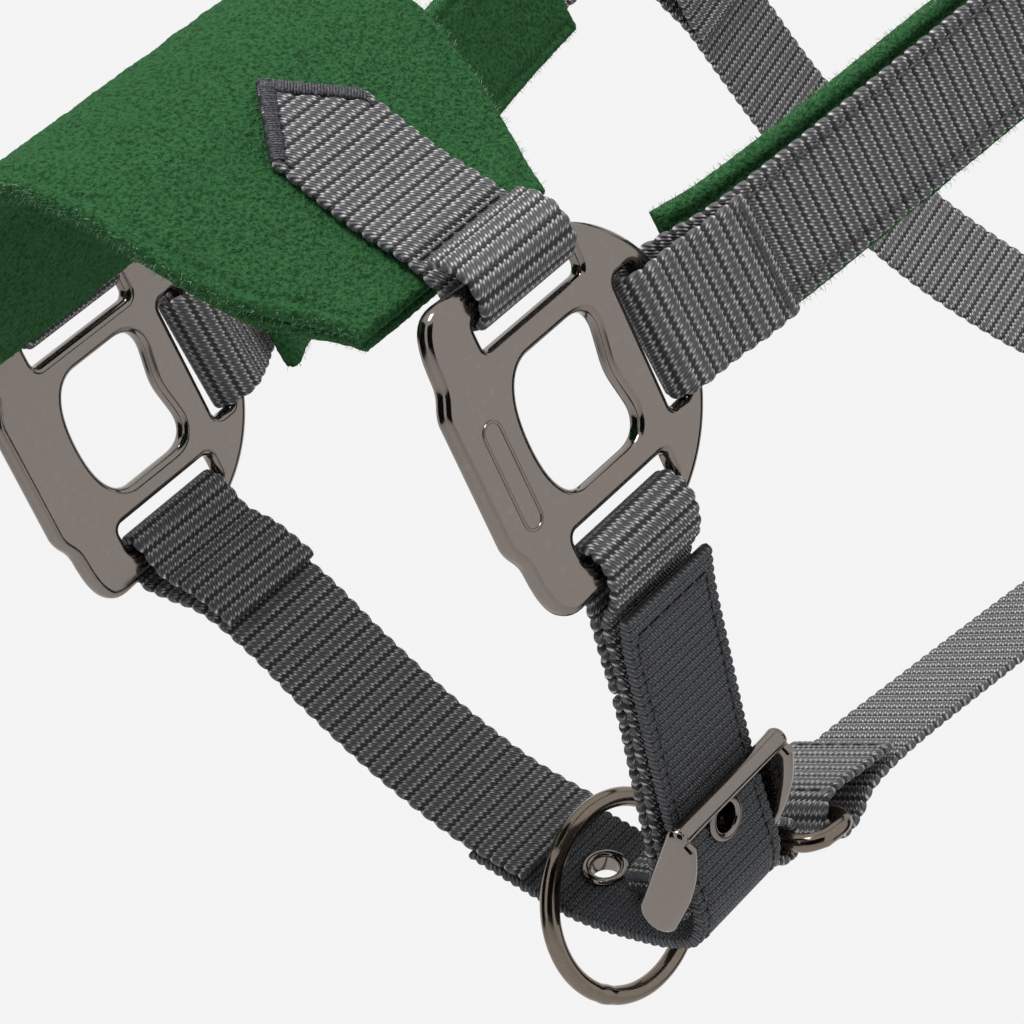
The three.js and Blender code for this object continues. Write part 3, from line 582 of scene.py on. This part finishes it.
def plate_object(name, outlines, thick, bevel, place, material):
    """A flat casting with rounded edges. The first outline is its edge and the rest are its openings."""
    curve = bpy.data.curves.new(name, "CURVE")
    curve.dimensions = "2D"
    curve.fill_mode = "BOTH"
    curve.extrude = thick / 2 - bevel
    curve.bevel_depth = bevel
    curve.bevel_resolution = 5
    curve.offset = -bevel
    for outline in outlines:
        spline = curve.splines.new("POLY")
        spline.points.add(len(outline) - 1)
        spline.points.foreach_set("co", np.array([[x, y, 0, 1] for x, y in outline], float).ravel())
        spline.use_cyclic_u = True
    maker = bpy.data.objects.new(name, curve)
    bpy.context.scene.collection.objects.link(maker)
    mesh = bpy.data.meshes.new_from_object(maker.evaluated_get(bpy.context.evaluated_depsgraph_get()))
    bpy.data.objects.remove(maker)
    mesh.transform(place)
    if place.determinant() < 0:
        mesh.flip_normals()
    mesh.materials.clear()
    mesh.materials.append(material)
    mesh.shade_smooth()
    mesh.set_sharp_from_angle(angle=math.radians(40))
    made = bpy.data.objects.new(name, mesh)
    bpy.context.scene.collection.objects.link(made)
    return made


def side_square(side, word):
    """A cast three-slot square and the raised rim of its blank cartouche."""
    plane = Matrix(((0, 0, -1, side * SQUARE_X), (1, 0, 0, 0), (0, -1, 0, 0), (0, 0, 0, 1)))
    outlines = [
        square_outline(), square_opening(),
        slot_outline((-0.3, -21.3), 6.2, True), slot_outline((-0.3, 21.3), 6.2, True),
        slot_outline((21.2, 0), 5.6, False),
    ]
    node = f"{word}_side_square"
    name = f"{word}_square_casting"
    plate = plate_object(name, outlines, SQUARE_THICK, SQUARE_BEVEL, HEAD @ plane, casting)
    declare(plate, node=node)
    outer = side * (SQUARE_X + SQUARE_THICK / 2)
    centre, length, width = (-20.2, 2.0), 21.0, 4.2
    ends = arc_points((centre[0], centre[1] + length / 2 - width / 2), width / 2, 0, 180, 13)
    ends += arc_points((centre[0], centre[1] - length / 2 + width / 2), width / 2, 180, 360, 13)
    rim = [[outer, p, -q] for p, q in ends]
    points, faces = tube_mesh(rim, 0.3, 8, closed=True)
    cartouche = add_object(f"{word}_square_cartouche", points, faces, casting)
    declare(cartouche)


side_square(1, "near")
side_square(-1, "far")

# ---------------------------------------------------------------- noseband
NOSE_ARCH = [[57.9, 32.2], [45, 43.5], [33, 56], [20, 67.5], [0, 75]]
PAD_BACK = [
    [62, 12], [60.5, 14.5], [58, 19.2], [52.7, 22.4], [45, 27.8], [41.5, 30], [30, 36.3], [18, 39], [0, 40],
]
PAD_FRONT = [
    [62, 21], [60.5, 25], [58, 27], [51, 30.5], [45, 35], [40, 38.9], [30, 42], [18, 43.5], [0, 44],
]
LINING_INSET = 2.5
nose_arch = NOSE_ARCH + [[-x, z] for x, z in NOSE_ARCH[-2::-1]]


def pad_layer(inset, node, shrink=0.0):
    """One fleece layer of the nose pad, whose width follows its plan."""
    line, _ = smooth_path(nose_arch, 1.0)
    along = np.gradient(line, axis=0)
    along /= np.linalg.norm(along, axis=1)[:, None]
    line = line + inset * np.stack([-along[:, 1], along[:, 0]], 1)
    knots = [*line[:-3:6].tolist(), line[-1].tolist()]
    path, run = smooth_path(knots, 0.5)

    def reach(plan, s):
        x = abs(np.interp(s, run, path[:, 0]))
        edge, _ = smooth_path(plan[::-1], 1.0)
        return float(np.interp(x, edge[:, 0], edge[:, 1])) - shrink

    # across the head the width runs the other way from y
    band = Band(knots, ACROSS_HEAD, FLEECE_THICK, low=lambda s: -reach(PAD_BACK, s),
                high=lambda s: reach(PAD_FRONT, s), step=0.55, across=0.6, pebble=0.3, edge=1.6, end_edge=1.6)
    return pad(node, band)


shell_inset = WEB_THICK / 2 + 0.5 + FLEECE_THICK / 2
pad_layer(shell_inset, "nose_pad_shell")
pad_layer(shell_inset + FLEECE_THICK + 0.3, "nose_pad_lining", LINING_INSET)

WRAP = [SQUARE_THICK / 2 + 1.0 + WEB_THICK / 2, 3 + 1.2 + WEB_THICK / 2]
nose_tab_path = [
    [22.8, 65.9], [33, 56], [45, 43.5], [55.9, 34.5],
    *turn([SQUARE_X, SLOT_BAR_CENTRE], WRAP, 180, 360),
    [67.0, 31.2], [63.6, 34.0], [59.9, 34.9],
]


# The tab's point is nearly sharp, widens evenly and reaches the full width over its stated length.
TAB_TIP_HALF = 0.35
TAB_FLARE = 0.86
TAB_POINT = 14.1
TAB_SEAM = 45.5


def nose_tab_half(s):
    """Half the tab's width: pointed over the first stretch."""
    return min(WEB_WIDTH / 2, TAB_TIP_HALF + s * TAB_FLARE)


# How far each point of a binding stitch is from the tab's edge, and how high it stands.
BINDING_STITCH = [(-0.25, -0.9), (0.3, 0.12), (1.2, 0.28), (2.1, 0.18), (2.5, -0.2)]


def bound_point(band, name):
    """Satin stitches over the raw edges of a tab's point, not quite even."""
    rng = np.random.default_rng(5)
    parts = []
    for side in (-1, 1):
        corner = np.array([TAB_POINT, side * WEB_WIDTH / 2])
        inward = np.array([corner[1] * side, -corner[0] * side]) / np.linalg.norm(corner)
        for u in np.arange(0.03, 1.0, 0.028):
            root = corner * u
            stretch = rng.uniform(0.88, 1.12)
            path = [band.base(*(root + inward * reach * stretch), 1, lift) for reach, lift in BINDING_STITCH]
            parts.append(tube_mesh(path, rng.uniform(0.22, 0.34), 6))
    points, faces = gather(parts)
    declare(add_object(name, points, faces, thread, band.place))


def nose_tab(word, mirror):
    inset = 1.7
    point = [(17.5, WEB_WIDTH / 2 - inset), (15.2, WEB_WIDTH / 2 - inset), (3.4, 0),
             (15.2, inset - WEB_WIDTH / 2), (17.5, inset - WEB_WIDTH / 2)]
    seams = [
        {"path": point, "side": 1, "pull": 0.4},
        {"path": [(TAB_SEAM, -11), (TAB_SEAM, 11)], "side": 1, "pull": 0.5, "reach": 0.9},
    ]
    band = Band(nose_tab_path, ACROSS_HEAD, WEB_THICK, low=lambda s: -nose_tab_half(s), high=nose_tab_half,
                pitch=RIB_PITCH, seams=seams)
    strap(f"{word}_nose_tab", band, mirror=mirror)
    bound_point(band, f"{word}_nose_tab_binding")


nose_tab("near", False)
nose_tab("far", True)

# ---------------------------------------------------------------- cheekpieces
ring_front = CHEEK_RING["y"] - CHEEK_RING["radius"]
RING_WRAP = [CHEEK_RING["wire"] + 1.05 + WEB_THICK / 2] * 2
cheek_path = [
    [73.6, 47.5], [71.6, 38.5], [70.0, 34.6],
    *turn([SQUARE_X, SLOT_BAR_CENTRE], [WRAP[0] + 0.3, WRAP[1] + 1.0], 0, -180),
    [63.6, 35.0], [68.2, 42.0], [73.5, 62], [83, 110], [91.5, 150], [96, 178],
    *turn([CHEEK_RING["x"], ring_front + 5.0], RING_WRAP, 180, 0),
    [99.4, 183], [97.4, 168],
]
cheek_lining_path = [[59.5, 38.5], [64.0, 46], [69.2, 64], [78.4, 111], [86.9, 150.5], [90.2, 172]]


def cheekpiece(word, mirror):
    inset = WEB_WIDTH / 2 - 2.6
    seams = [
        {"path": [(62, -inset), (176, -inset)], "side": -1, "pull": 0.35},
        {"path": [(62, inset), (176, inset)], "side": -1, "pull": 0.35},
        {"path": [(2.2, -11), (2.2, 11)], "side": 1, "pull": 0.4},
    ]
    band = Band(cheek_path, CHEEK_LIFT, WEB_THICK, pitch=RIB_PITCH, seams=seams)
    strap(f"{word}_cheek_strap", band, mirror=mirror)
    lining = Band(cheek_lining_path, CHEEK_LIFT, 4.5, -15, 15, step=0.55, across=0.6, pebble=0.3,
                  edge=2.0, end_edge=2.0)
    pad(f"{word}_cheek_lining", lining, mirror=mirror)


cheekpiece("near", False)
cheekpiece("far", True)


# ---------------------------------------------------------------- wire rings
def wire_ring(name, node, ring, x, body, weld_angle):
    """A welded round-wire ring about the x axis, with the swelling where its ends meet."""
    angles = np.linspace(0, 2 * math.pi, 160, endpoint=False)
    path = np.stack([np.full(160, x), ring["y"] + ring["radius"] * np.cos(angles),
                     ring["z"] + ring["radius"] * np.sin(angles)], 1)
    off = np.abs((angles - weld_angle + math.pi) % (2 * math.pi) - math.pi)
    swelling = 0.05 * np.exp(-((off / 0.05) ** 2))
    necks = 0.04 * np.exp(-(((off - 0.11) / 0.03) ** 2))
    radii = ring["wire"] * (1 + swelling - necks)
    points, faces = tube_mesh(path, radii, 20, closed=True)
    declare(add_object(name, points, faces, wire), body, node)


wire_ring("near_ring_wire", "near_cheek_ring", CHEEK_RING, CHEEK_RING["x"], "near_cheek_ring", 2.4)
wire_ring("far_ring_wire", "far_cheek_ring", CHEEK_RING, -CHEEK_RING["x"], "far_cheek_ring", 0.7)
wire_ring("chin_ring_wire", "chin_ring", CHIN_RING, CHIN_RING["x"], "chin_ring", 3.9)


# ---------------------------------------------------------------- eyelets
def eyelet(node, band, s, body=ROOT):
    """A rolled two-part eyelet pressed through a strap, standing on both faces."""
    hole, barrel, flange = EYELET["hole"], EYELET["barrel"], EYELET["flange"]
    top = band.thick / 2 + EYELET["gap"] + EYELET["lip"]
    roll = (flange - hole) / 2
    outer = [(hole + roll - roll * math.cos(x), top - 0.75 + 0.75 * math.sin(x))
             for x in np.radians(np.linspace(0, 180, 11))]
    under = [(flange - 0.3, top - 0.95), (barrel, top - 0.95)]
    upper = outer + under
    profile = upper + [(r, -z) for r, z in upper[::-1]]
    count = 40
    angles = np.linspace(0, 2 * math.pi, count, endpoint=False)
    centre, out = band.base(s, 0, 1, -band.thick / 2), band.base(s, 0, 1, 1 - band.thick / 2)
    out = out - centre
    along = np.cross([0, 0, 1.0], out)
    points = [centre + z * out + r * (math.cos(a) * along + math.sin(a) * np.array([0, 0, 1.0]))
              for a in angles for r, z in profile]
    size = len(profile)
    faces = []
    for i in range(count):
        a, b = i * size, (i + 1) % count * size
        for j in range(size):
            k = (j + 1) % size
            faces.append((a + j, a + k, b + k, b + j))
    made = add_object(f"{node}_roll", points, faces, casting, band.place)
    declare(made, body, node)


# ---------------------------------------------------------------- chin straps
CHIN_HINGE = [43.5, -100.3]
CHIN_FRONT_BAR = [57.6, -82.2]
CHIN_EYELETS = [53.6, 108.2]
billet_path = [
    [66.2, -37.2], [63.3, -44.5], [58.9, -60], [54.0, -78], [52.3, -86], [50.4, -96], [48.8, -104],
    [44.8, -109], [38, -110.4], [30, -109.8], [15.4, -106.8], [7, -102.5], [-2, -97.0], [-7, -93.8],
]
chin_stay_path = [
    [55.1, -53.0], [57.0, -44], [58.9, -35.5],
    *turn([SQUARE_X, -SLOT_BAR_CENTRE], WRAP, 180, 0),
    [66.0, -33.2], [61.4, -37.6], [59.6, -44], [55.8, -60], [49.5, -80], [46.7, -90], [46.5, -96],
    *turn(CHIN_HINGE, [3.35, 3.35], 0, -180),
    [43.8, -91], [47.1, -80], [53.3, -60], [54.7, -54.4],
]
far_chin_path = [
    [-44.2, -41.6], [-51.2, -34.4], [-58.0, -30.5],
    *turn([-SQUARE_X, -SLOT_BAR_CENTRE], WRAP, 20, 190),
    [-66.6, -32.6], [-60.2, -35.6], [-52.2, -38.6], [-44.4, -46.3], [-33.6, -62.6], [-22.6, -76.6],
    [-9.8, -88.9], [-2.0, -94.0], [5.4, -98.1],
]


def chin_billet():
    """The adjusting end: matt doubled webbing, stitched round its edge, with a folded tip."""
    inset = WEB_WIDTH / 2 - 2.3
    tip = 4.6
    seams = [
        {"path": [(150, -inset), (tip, -inset), (tip, inset), (150, inset)], "reach": 0.6, "side": 1},
        {"path": [(0.0, -WEB_WIDTH / 2), (0.0, WEB_WIDTH / 2)], "pull": 0.25, "reach": 0.8, "thread": False},
    ]
    band = Band(billet_path, ACROSS_HEAD, BILLET_THICK, pitch=BILLET_PITCH, depth=0.46, seams=seams,
                holes=[(s, 3.7) for s in CHIN_EYELETS], step=0.32, end_edge=0.8)
    strap("chin_billet", band, billet_cloth)
    for i, s in enumerate(CHIN_EYELETS):
        eyelet(f"chin_eyelet_{i + 1}", band, s)


def chin_stay():
    seams = [{"path": [(1.6, -10.5), (1.6, 10.5)], "side": -1, "thread": False}]
    band = Band(chin_stay_path, ACROSS_HEAD, WEB_THICK, pitch=RIB_PITCH * 0.8, seams=seams)
    strap("near_chin_stay", band, sewn=False)


def far_chin_strap():
    seams = [
        {"path": [(1.8, -10.5), (1.8, 10.5)], "side": 1},
    ]
    band = Band(far_chin_path, ACROSS_HEAD, WEB_THICK, pitch=RIB_PITCH, depth=0.38, seams=seams)
    strap("far_chin_strap", band)


chin_billet()
chin_stay()
far_chin_strap()


# ---------------------------------------------------------------- buckles
ARM = {"inside": 13.6, "thick": 3.0}


def buckle(word, hinge, front, section, body, node):
    """A cast buckle: two crescent side plates, a hinge bar and a rounded front bar."""
    hinge, front = np.array(hinge, float), np.array(front, float)
    along = front - hinge
    length = np.linalg.norm(along)
    heel = math.degrees(math.atan2(along[1], along[0]))
    bulge = np.array([along[1], -along[0]]) / length * 7.0
    ends = arc_points(hinge, 4.2, heel + 90, heel + 270, 17)
    start, tip = np.array(ends[-1]), front + bulge * 0.52
    crest = hinge + along * 0.55 + bulge
    crescent = [((1 - u) ** 2 * start + 2 * u * (1 - u) * crest + u**2 * tip).tolist()
                for u in np.linspace(0.05, 0.97, 18)]
    outline = ends + crescent + arc_points(front, 2.2, heel - 90, heel + 90, 11)
    middle_of_arm = ARM["inside"] + ARM["thick"] / 2
    for side, middle in (("front", -middle_of_arm), ("rear", middle_of_arm)):
        plate = plate_object(f"{word}_{side}_arm", [outline[::-1]], ARM["thick"], 1.45,
                             HEAD @ section @ moved(0, 0, middle), casting)
        declare(plate, body)
    span = ARM["inside"] + ARM["thick"] * 0.6
    for bar, centre, radius in (("hinge_bar", hinge, 2.0), ("front_bar", front, 2.0)):
        u = np.linspace(-1, 1, 41)
        path = np.stack([np.full(41, centre[0]), np.full(41, centre[1]), span * u], 1)
        swell = radius * (1 + 0.1 * np.abs(u) ** 6)
        points, faces = tube_mesh(path, swell, 20)
        piece = add_object(f"{word}_{bar}", points, faces, casting, HEAD @ section)
        declare(piece, body, node if bar == "front_bar" else None)


buckle("chin_buckle", CHIN_HINGE, CHIN_FRONT_BAR, ACROSS_HEAD, "chin_buckle_frame", "chin_buckle_frame")

# ---------------------------------------------------------------- jaw strap
JAW_LOOP = {"front": [25, -114.6], "rear": [36.5, -116.6], "wire": 1.8}
loop_wrap = JAW_LOOP["wire"] + 0.9 + WEB_THICK / 2
jaw_tab_path = [
    [-4, -105.65], [10, -105.6], [14.2, -107.0], [17.3, -111.6], [19.6, -115.4],
    *turn(JAW_LOOP["front"], [loop_wrap, loop_wrap], 232, 412, 8),
    [23.3, -108.4], [18.6, -105.2], [13.5, -103.4], [-3, -103.2],
]
strap("jaw_tab", Band(jaw_tab_path, JAW @ TAB_ROLL @ SAGITTAL, WEB_THICK, -8, 8, pitch=RIB_PITCH))


def rectangular_loop():
    """A wire loop with two straight bars and tight corners."""
    half = WEB_WIDTH / 2 + 0.6 + JAW_LOOP["wire"]
    front, rear = np.array(JAW_LOOP["front"], float), np.array(JAW_LOOP["rear"], float)
    slope = (rear - front) / np.linalg.norm(rear - front)
    corner = 2.6
    inner, short = half - corner, half * 0.4
    corners = [
        (half, front, corner), (half, rear, -corner), (inner, rear, 0), (short, rear, 0),
        (-short, rear, 0), (-inner, rear, 0), (-half, rear, -corner), (-half, front, corner),
        (-inner, front, 0), (-short, front, 0), (short, front, 0), (inner, front, 0),
    ]
    path = [[x, *(end + slope * inset)] for x, end, inset in corners]
    path, _ = smooth_path(path + [path[0]], 0.6)
    points, faces = tube_mesh(path[:-1], JAW_LOOP["wire"], 16, closed=True)
    piece = add_object("jaw_loop_wire", points, faces, wire, HEAD @ JAW @ TAB_ROLL)
    declare(piece, node="jaw_strap_loop")


rectangular_loop()

throat_drop = 165
throat_centre = (CHEEK_RING["y"] + math.sin(THROAT_TILT) * throat_drop,
                 CHEEK_RING["z"] - math.cos(THROAT_TILT) * throat_drop)


def beside_throat(m, w):
    """A point beside the throat strap's section: m along its width, w out of the throat."""
    return [throat_centre[0] + math.cos(THROAT_TILT) * m + math.sin(THROAT_TILT) * w,
            throat_centre[1] + math.sin(THROAT_TILT) * m - math.cos(THROAT_TILT) * w]


jaw_strap_path = [
    [58, -116.1], [46, -113.7], [41, -112.5],
    *turn(JAW_LOOP["rear"], [loop_wrap + 0.9, loop_wrap + 0.9], 90, 270, 7),
    [41, -120.9], [47, -118.9], [58, -119.2], [100, -126.5], [170, -140], [222, -151.0],
    beside_throat(-15, 3.6), beside_throat(10, 3.6), beside_throat(14.2, 3.4), beside_throat(17.3, 0),
    beside_throat(14.2, -3.4), beside_throat(10, -3.6), beside_throat(-11, -3.6),
    [235.6, -148.8], [224, -148.0], [212, -145.8],
]
jaw_seams = [{"path": [(2, -10.5), (2, 10.5)], "side": -1}, {"path": [(22, -10.5), (22, 10.5)], "side": -1}]
strap("jaw_strap", Band(jaw_strap_path, JAW @ SAGITTAL, WEB_THICK, pitch=RIB_PITCH, seams=jaw_seams))

# ---------------------------------------------------------------- throat strap
SNAP = {"x": CHEEK_RING["x"], "eye": 66}
ring_wrap_at = CHEEK_RING["radius"] - 4.4
throat_path = [
    [-94.6, 40], [-94.8, 34], [-93.6, 27.4],
    *turn([-CHEEK_RING["x"], ring_wrap_at], RING_WRAP, 0, -180),
    [-99.6, 28], [-97.4, 36], [-97.0, 48], [-95, 78], [-83, 118], [-56, 151], [-28, 163],
    [0, throat_drop], [28, 163], [56, 151], [83, 120], [95, 88], [98.2, 76],
    *turn([SNAP["x"], SNAP["eye"]], [3.9, 3.9], 0, -180),
    [94.4, 75], [92.2, 86], [88.4, 97],
]
throat_seams = [{"path": [(2, -10.5), (2, 10.5)], "side": -1}]
strap("throat_strap", Band(throat_path, THROAT, WEB_THICK, pitch=RIB_PITCH, depth=0.34, seams=throat_seams))

# ---------------------------------------------------------------- crown
CROWN_HINGE = [98.2, 75]
CROWN_FRONT_BAR = [104.4, 97]
CROWN_EYELETS = [23, 47.2, 72, 96]
crown_stay_path = [
    [95.9, 46], [95.2, 36], [94.6, 28],
    *turn([CHEEK_RING["x"], ring_wrap_at], RING_WRAP, 180, 360),
    [99.2, 28], [98.4, 36], [98.9, 50], [100.3, 64],
    *turn(CROWN_HINGE, [3.35, 3.35], 0, 180),
    [96.0, 66], [96.5, 50.5],
]
crown_path = [
    [101.4, 33], [101.9, 44], [103.0, 56], [104.3, 68], [104.4, 77], [103.0, 87], [100.9, 97], [96.5, 115],
    [84, 148], [52, 180], [0, CROWN_TOP], [-52, 180], [-84, 148], [-96.5, 115], [-99.4, 90], [-99.6, 60],
    [-98.4, 36], [-99.4, 28],
    *turn([-CHEEK_RING["x"], ring_wrap_at], RING_WRAP, 180, 360),
    [-94.6, 28], [-95.4, 38], [-96.6, 58],
]
crown_lining_path = [
    [88.6, 112], [77.6, 142.5], [48.4, 173.4], [0, 185.6], [-48.4, 173.4], [-77.6, 142.5], [-88.6, 112],
]
strap("near_crown_stay", Band(crown_stay_path, CROWN, WEB_THICK, pitch=RIB_PITCH))
crown_band = Band(crown_path, CROWN, WEB_THICK, pitch=RIB_PITCH, holes=[(s, 3.7) for s in CROWN_EYELETS],
                  seams=[{"path": [(2, -10.5), (2, 10.5)], "side": -1}])
strap("crown_strap", crown_band)
for number, distance in enumerate(CROWN_EYELETS):
    eyelet(f"crown_eyelet_{number + 1}", crown_band, distance)
crown_lining_band = Band(crown_lining_path, CROWN, 6, -22, 22, step=0.8, across=0.9, pebble=0.35,
                         edge=3, end_edge=3)
pad("crown_lining", crown_lining_band)
keeper_path = [
    [93.0, 0], [93.0, 13.2], [94.4, 14.1], [102.7, 14.1], [104.1, 13.2],
    [104.1, -13.2], [102.7, -14.1], [94.4, -14.1], [93.0, -13.2], [93.0, -0.6],
]
KEEPER = CROWN @ moved(0, 42, 0) @ turned("X", math.pi / 2)
strap("crown_keeper", Band(keeper_path, KEEPER, 1.5, -5, 5, pitch=RIB_PITCH, depth=0.2))
buckle("crown_buckle", CROWN_HINGE, CROWN_FRONT_BAR, CROWN, "crown_buckle_frame", "crown_buckle_frame")

# ---------------------------------------------------------------- carried-over castings
SNAP_AND_PRONGS = (
    "throat_snap_eye", "throat_snap_hook", "throat_snap_bolt", "chin_buckle_prong", "crown_buckle_prong",
)
for node in SNAP_AND_PRONGS:
    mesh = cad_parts[node].data
    mesh.materials.clear()
    mesh.materials.append(casting)
    mesh.shade_smooth()
    mesh.set_sharp_from_angle(angle=math.radians(38))


# ---------------------------------------------------------------- camera and studio
def add_camera():
    """A long lens on the near side, a little below the cheekpieces, looking back across the muzzle."""
    azimuth, elevation, distance = math.radians(47.06), math.radians(0.56), 0.700
    back = Vector((math.sin(azimuth) * math.cos(elevation), -math.cos(azimuth) * math.cos(elevation),
                   math.sin(elevation)))
    right = Vector((math.cos(azimuth), math.sin(azimuth), 0))
    up = back.cross(right)
    data = bpy.data.cameras.new("camera")
    data.lens = 134.27
    data.sensor_width = 36
    data.clip_start = 0.01
    data.clip_end = 50
    camera = bpy.data.objects.new("camera", data)
    camera.matrix_world = Matrix.Translation(
        HEAD @ Vector((0, 0, 0)) + back * distance + right * 0.03317 - up * 0.01927
    ) @ Matrix((right, up, back)).transposed().to_4x4()
    bpy.context.scene.collection.objects.link(camera)
    bpy.context.scene.camera = camera


def stage_plane(name, centre, facing, width, height, tone, seen=True):
    """A flat studio surface whose front looks towards facing."""
    g = Graph(f"{name}_surface")
    material = g.set(Base_Color=(tone, tone, tone, 1), Roughness=0.9, Specular_IOR_Level=0.1)
    w, h = width / 2, height / 2
    mesh = bpy.data.meshes.new(name)
    mesh.from_pydata([(-w, -h, 0), (w, -h, 0), (w, h, 0), (-w, h, 0)], [], [(0, 1, 2, 3)])
    mesh.materials.append(material)
    made = bpy.data.objects.new(name, mesh)
    turn_to_face = Vector(facing).to_track_quat("Z", "Y").to_matrix().to_4x4()
    made.matrix_world = Matrix.Translation(centre) @ turn_to_face
    bpy.context.scene.collection.objects.link(made)
    made.visible_camera = seen


def soft_light(name, centre, target, size, power):
    data = bpy.data.lights.new(name, "AREA")
    data.shape = "RECTANGLE"
    data.size, data.size_y = size
    data.energy = power
    lamp = bpy.data.objects.new(name, data)
    lamp.location = centre
    lamp.rotation_euler = (Vector(target) - Vector(centre)).to_track_quat("-Z", "Y").to_euler()
    bpy.context.scene.collection.objects.link(lamp)


def studio():
    world = bpy.data.worlds.new("studio")
    world.use_nodes = True
    world.node_tree.nodes["Background"].inputs[0].default_value = (0.9, 0.9, 0.9, 1)
    world.node_tree.nodes["Background"].inputs[1].default_value = 1.0
    bpy.context.scene.world = world
    bpy.context.scene.view_settings.view_transform = "Standard"
    middle = HEAD @ Vector((30, 10, -20))
    toward = Vector((0.732, -0.681, 0))
    across = Vector((0.681, 0.732, 0))
    stage_plane("floor", (0, 0, -1.25), (0, 0, 1), 6, 6, 0.82)
    stage_plane("camera_side_flag", middle + toward * 2.2, -toward, 2.6, 2.4, 0.01, seen=False)
    stage_plane("left_flag", middle - across * 2.0 + toward * 0.2, across, 1.8, 2.4, 0.01, seen=False)
    right = middle + across * 2.0 - toward * 0.9
    stage_plane("right_flag", right, -across + toward * 0.2, 0.9, 2.4, 0.01, seen=False)
    soft_light("key", middle + Vector((0.2, -1.0, 1.5)), middle, (0.7, 0.7), 26)


add_camera()
studio()
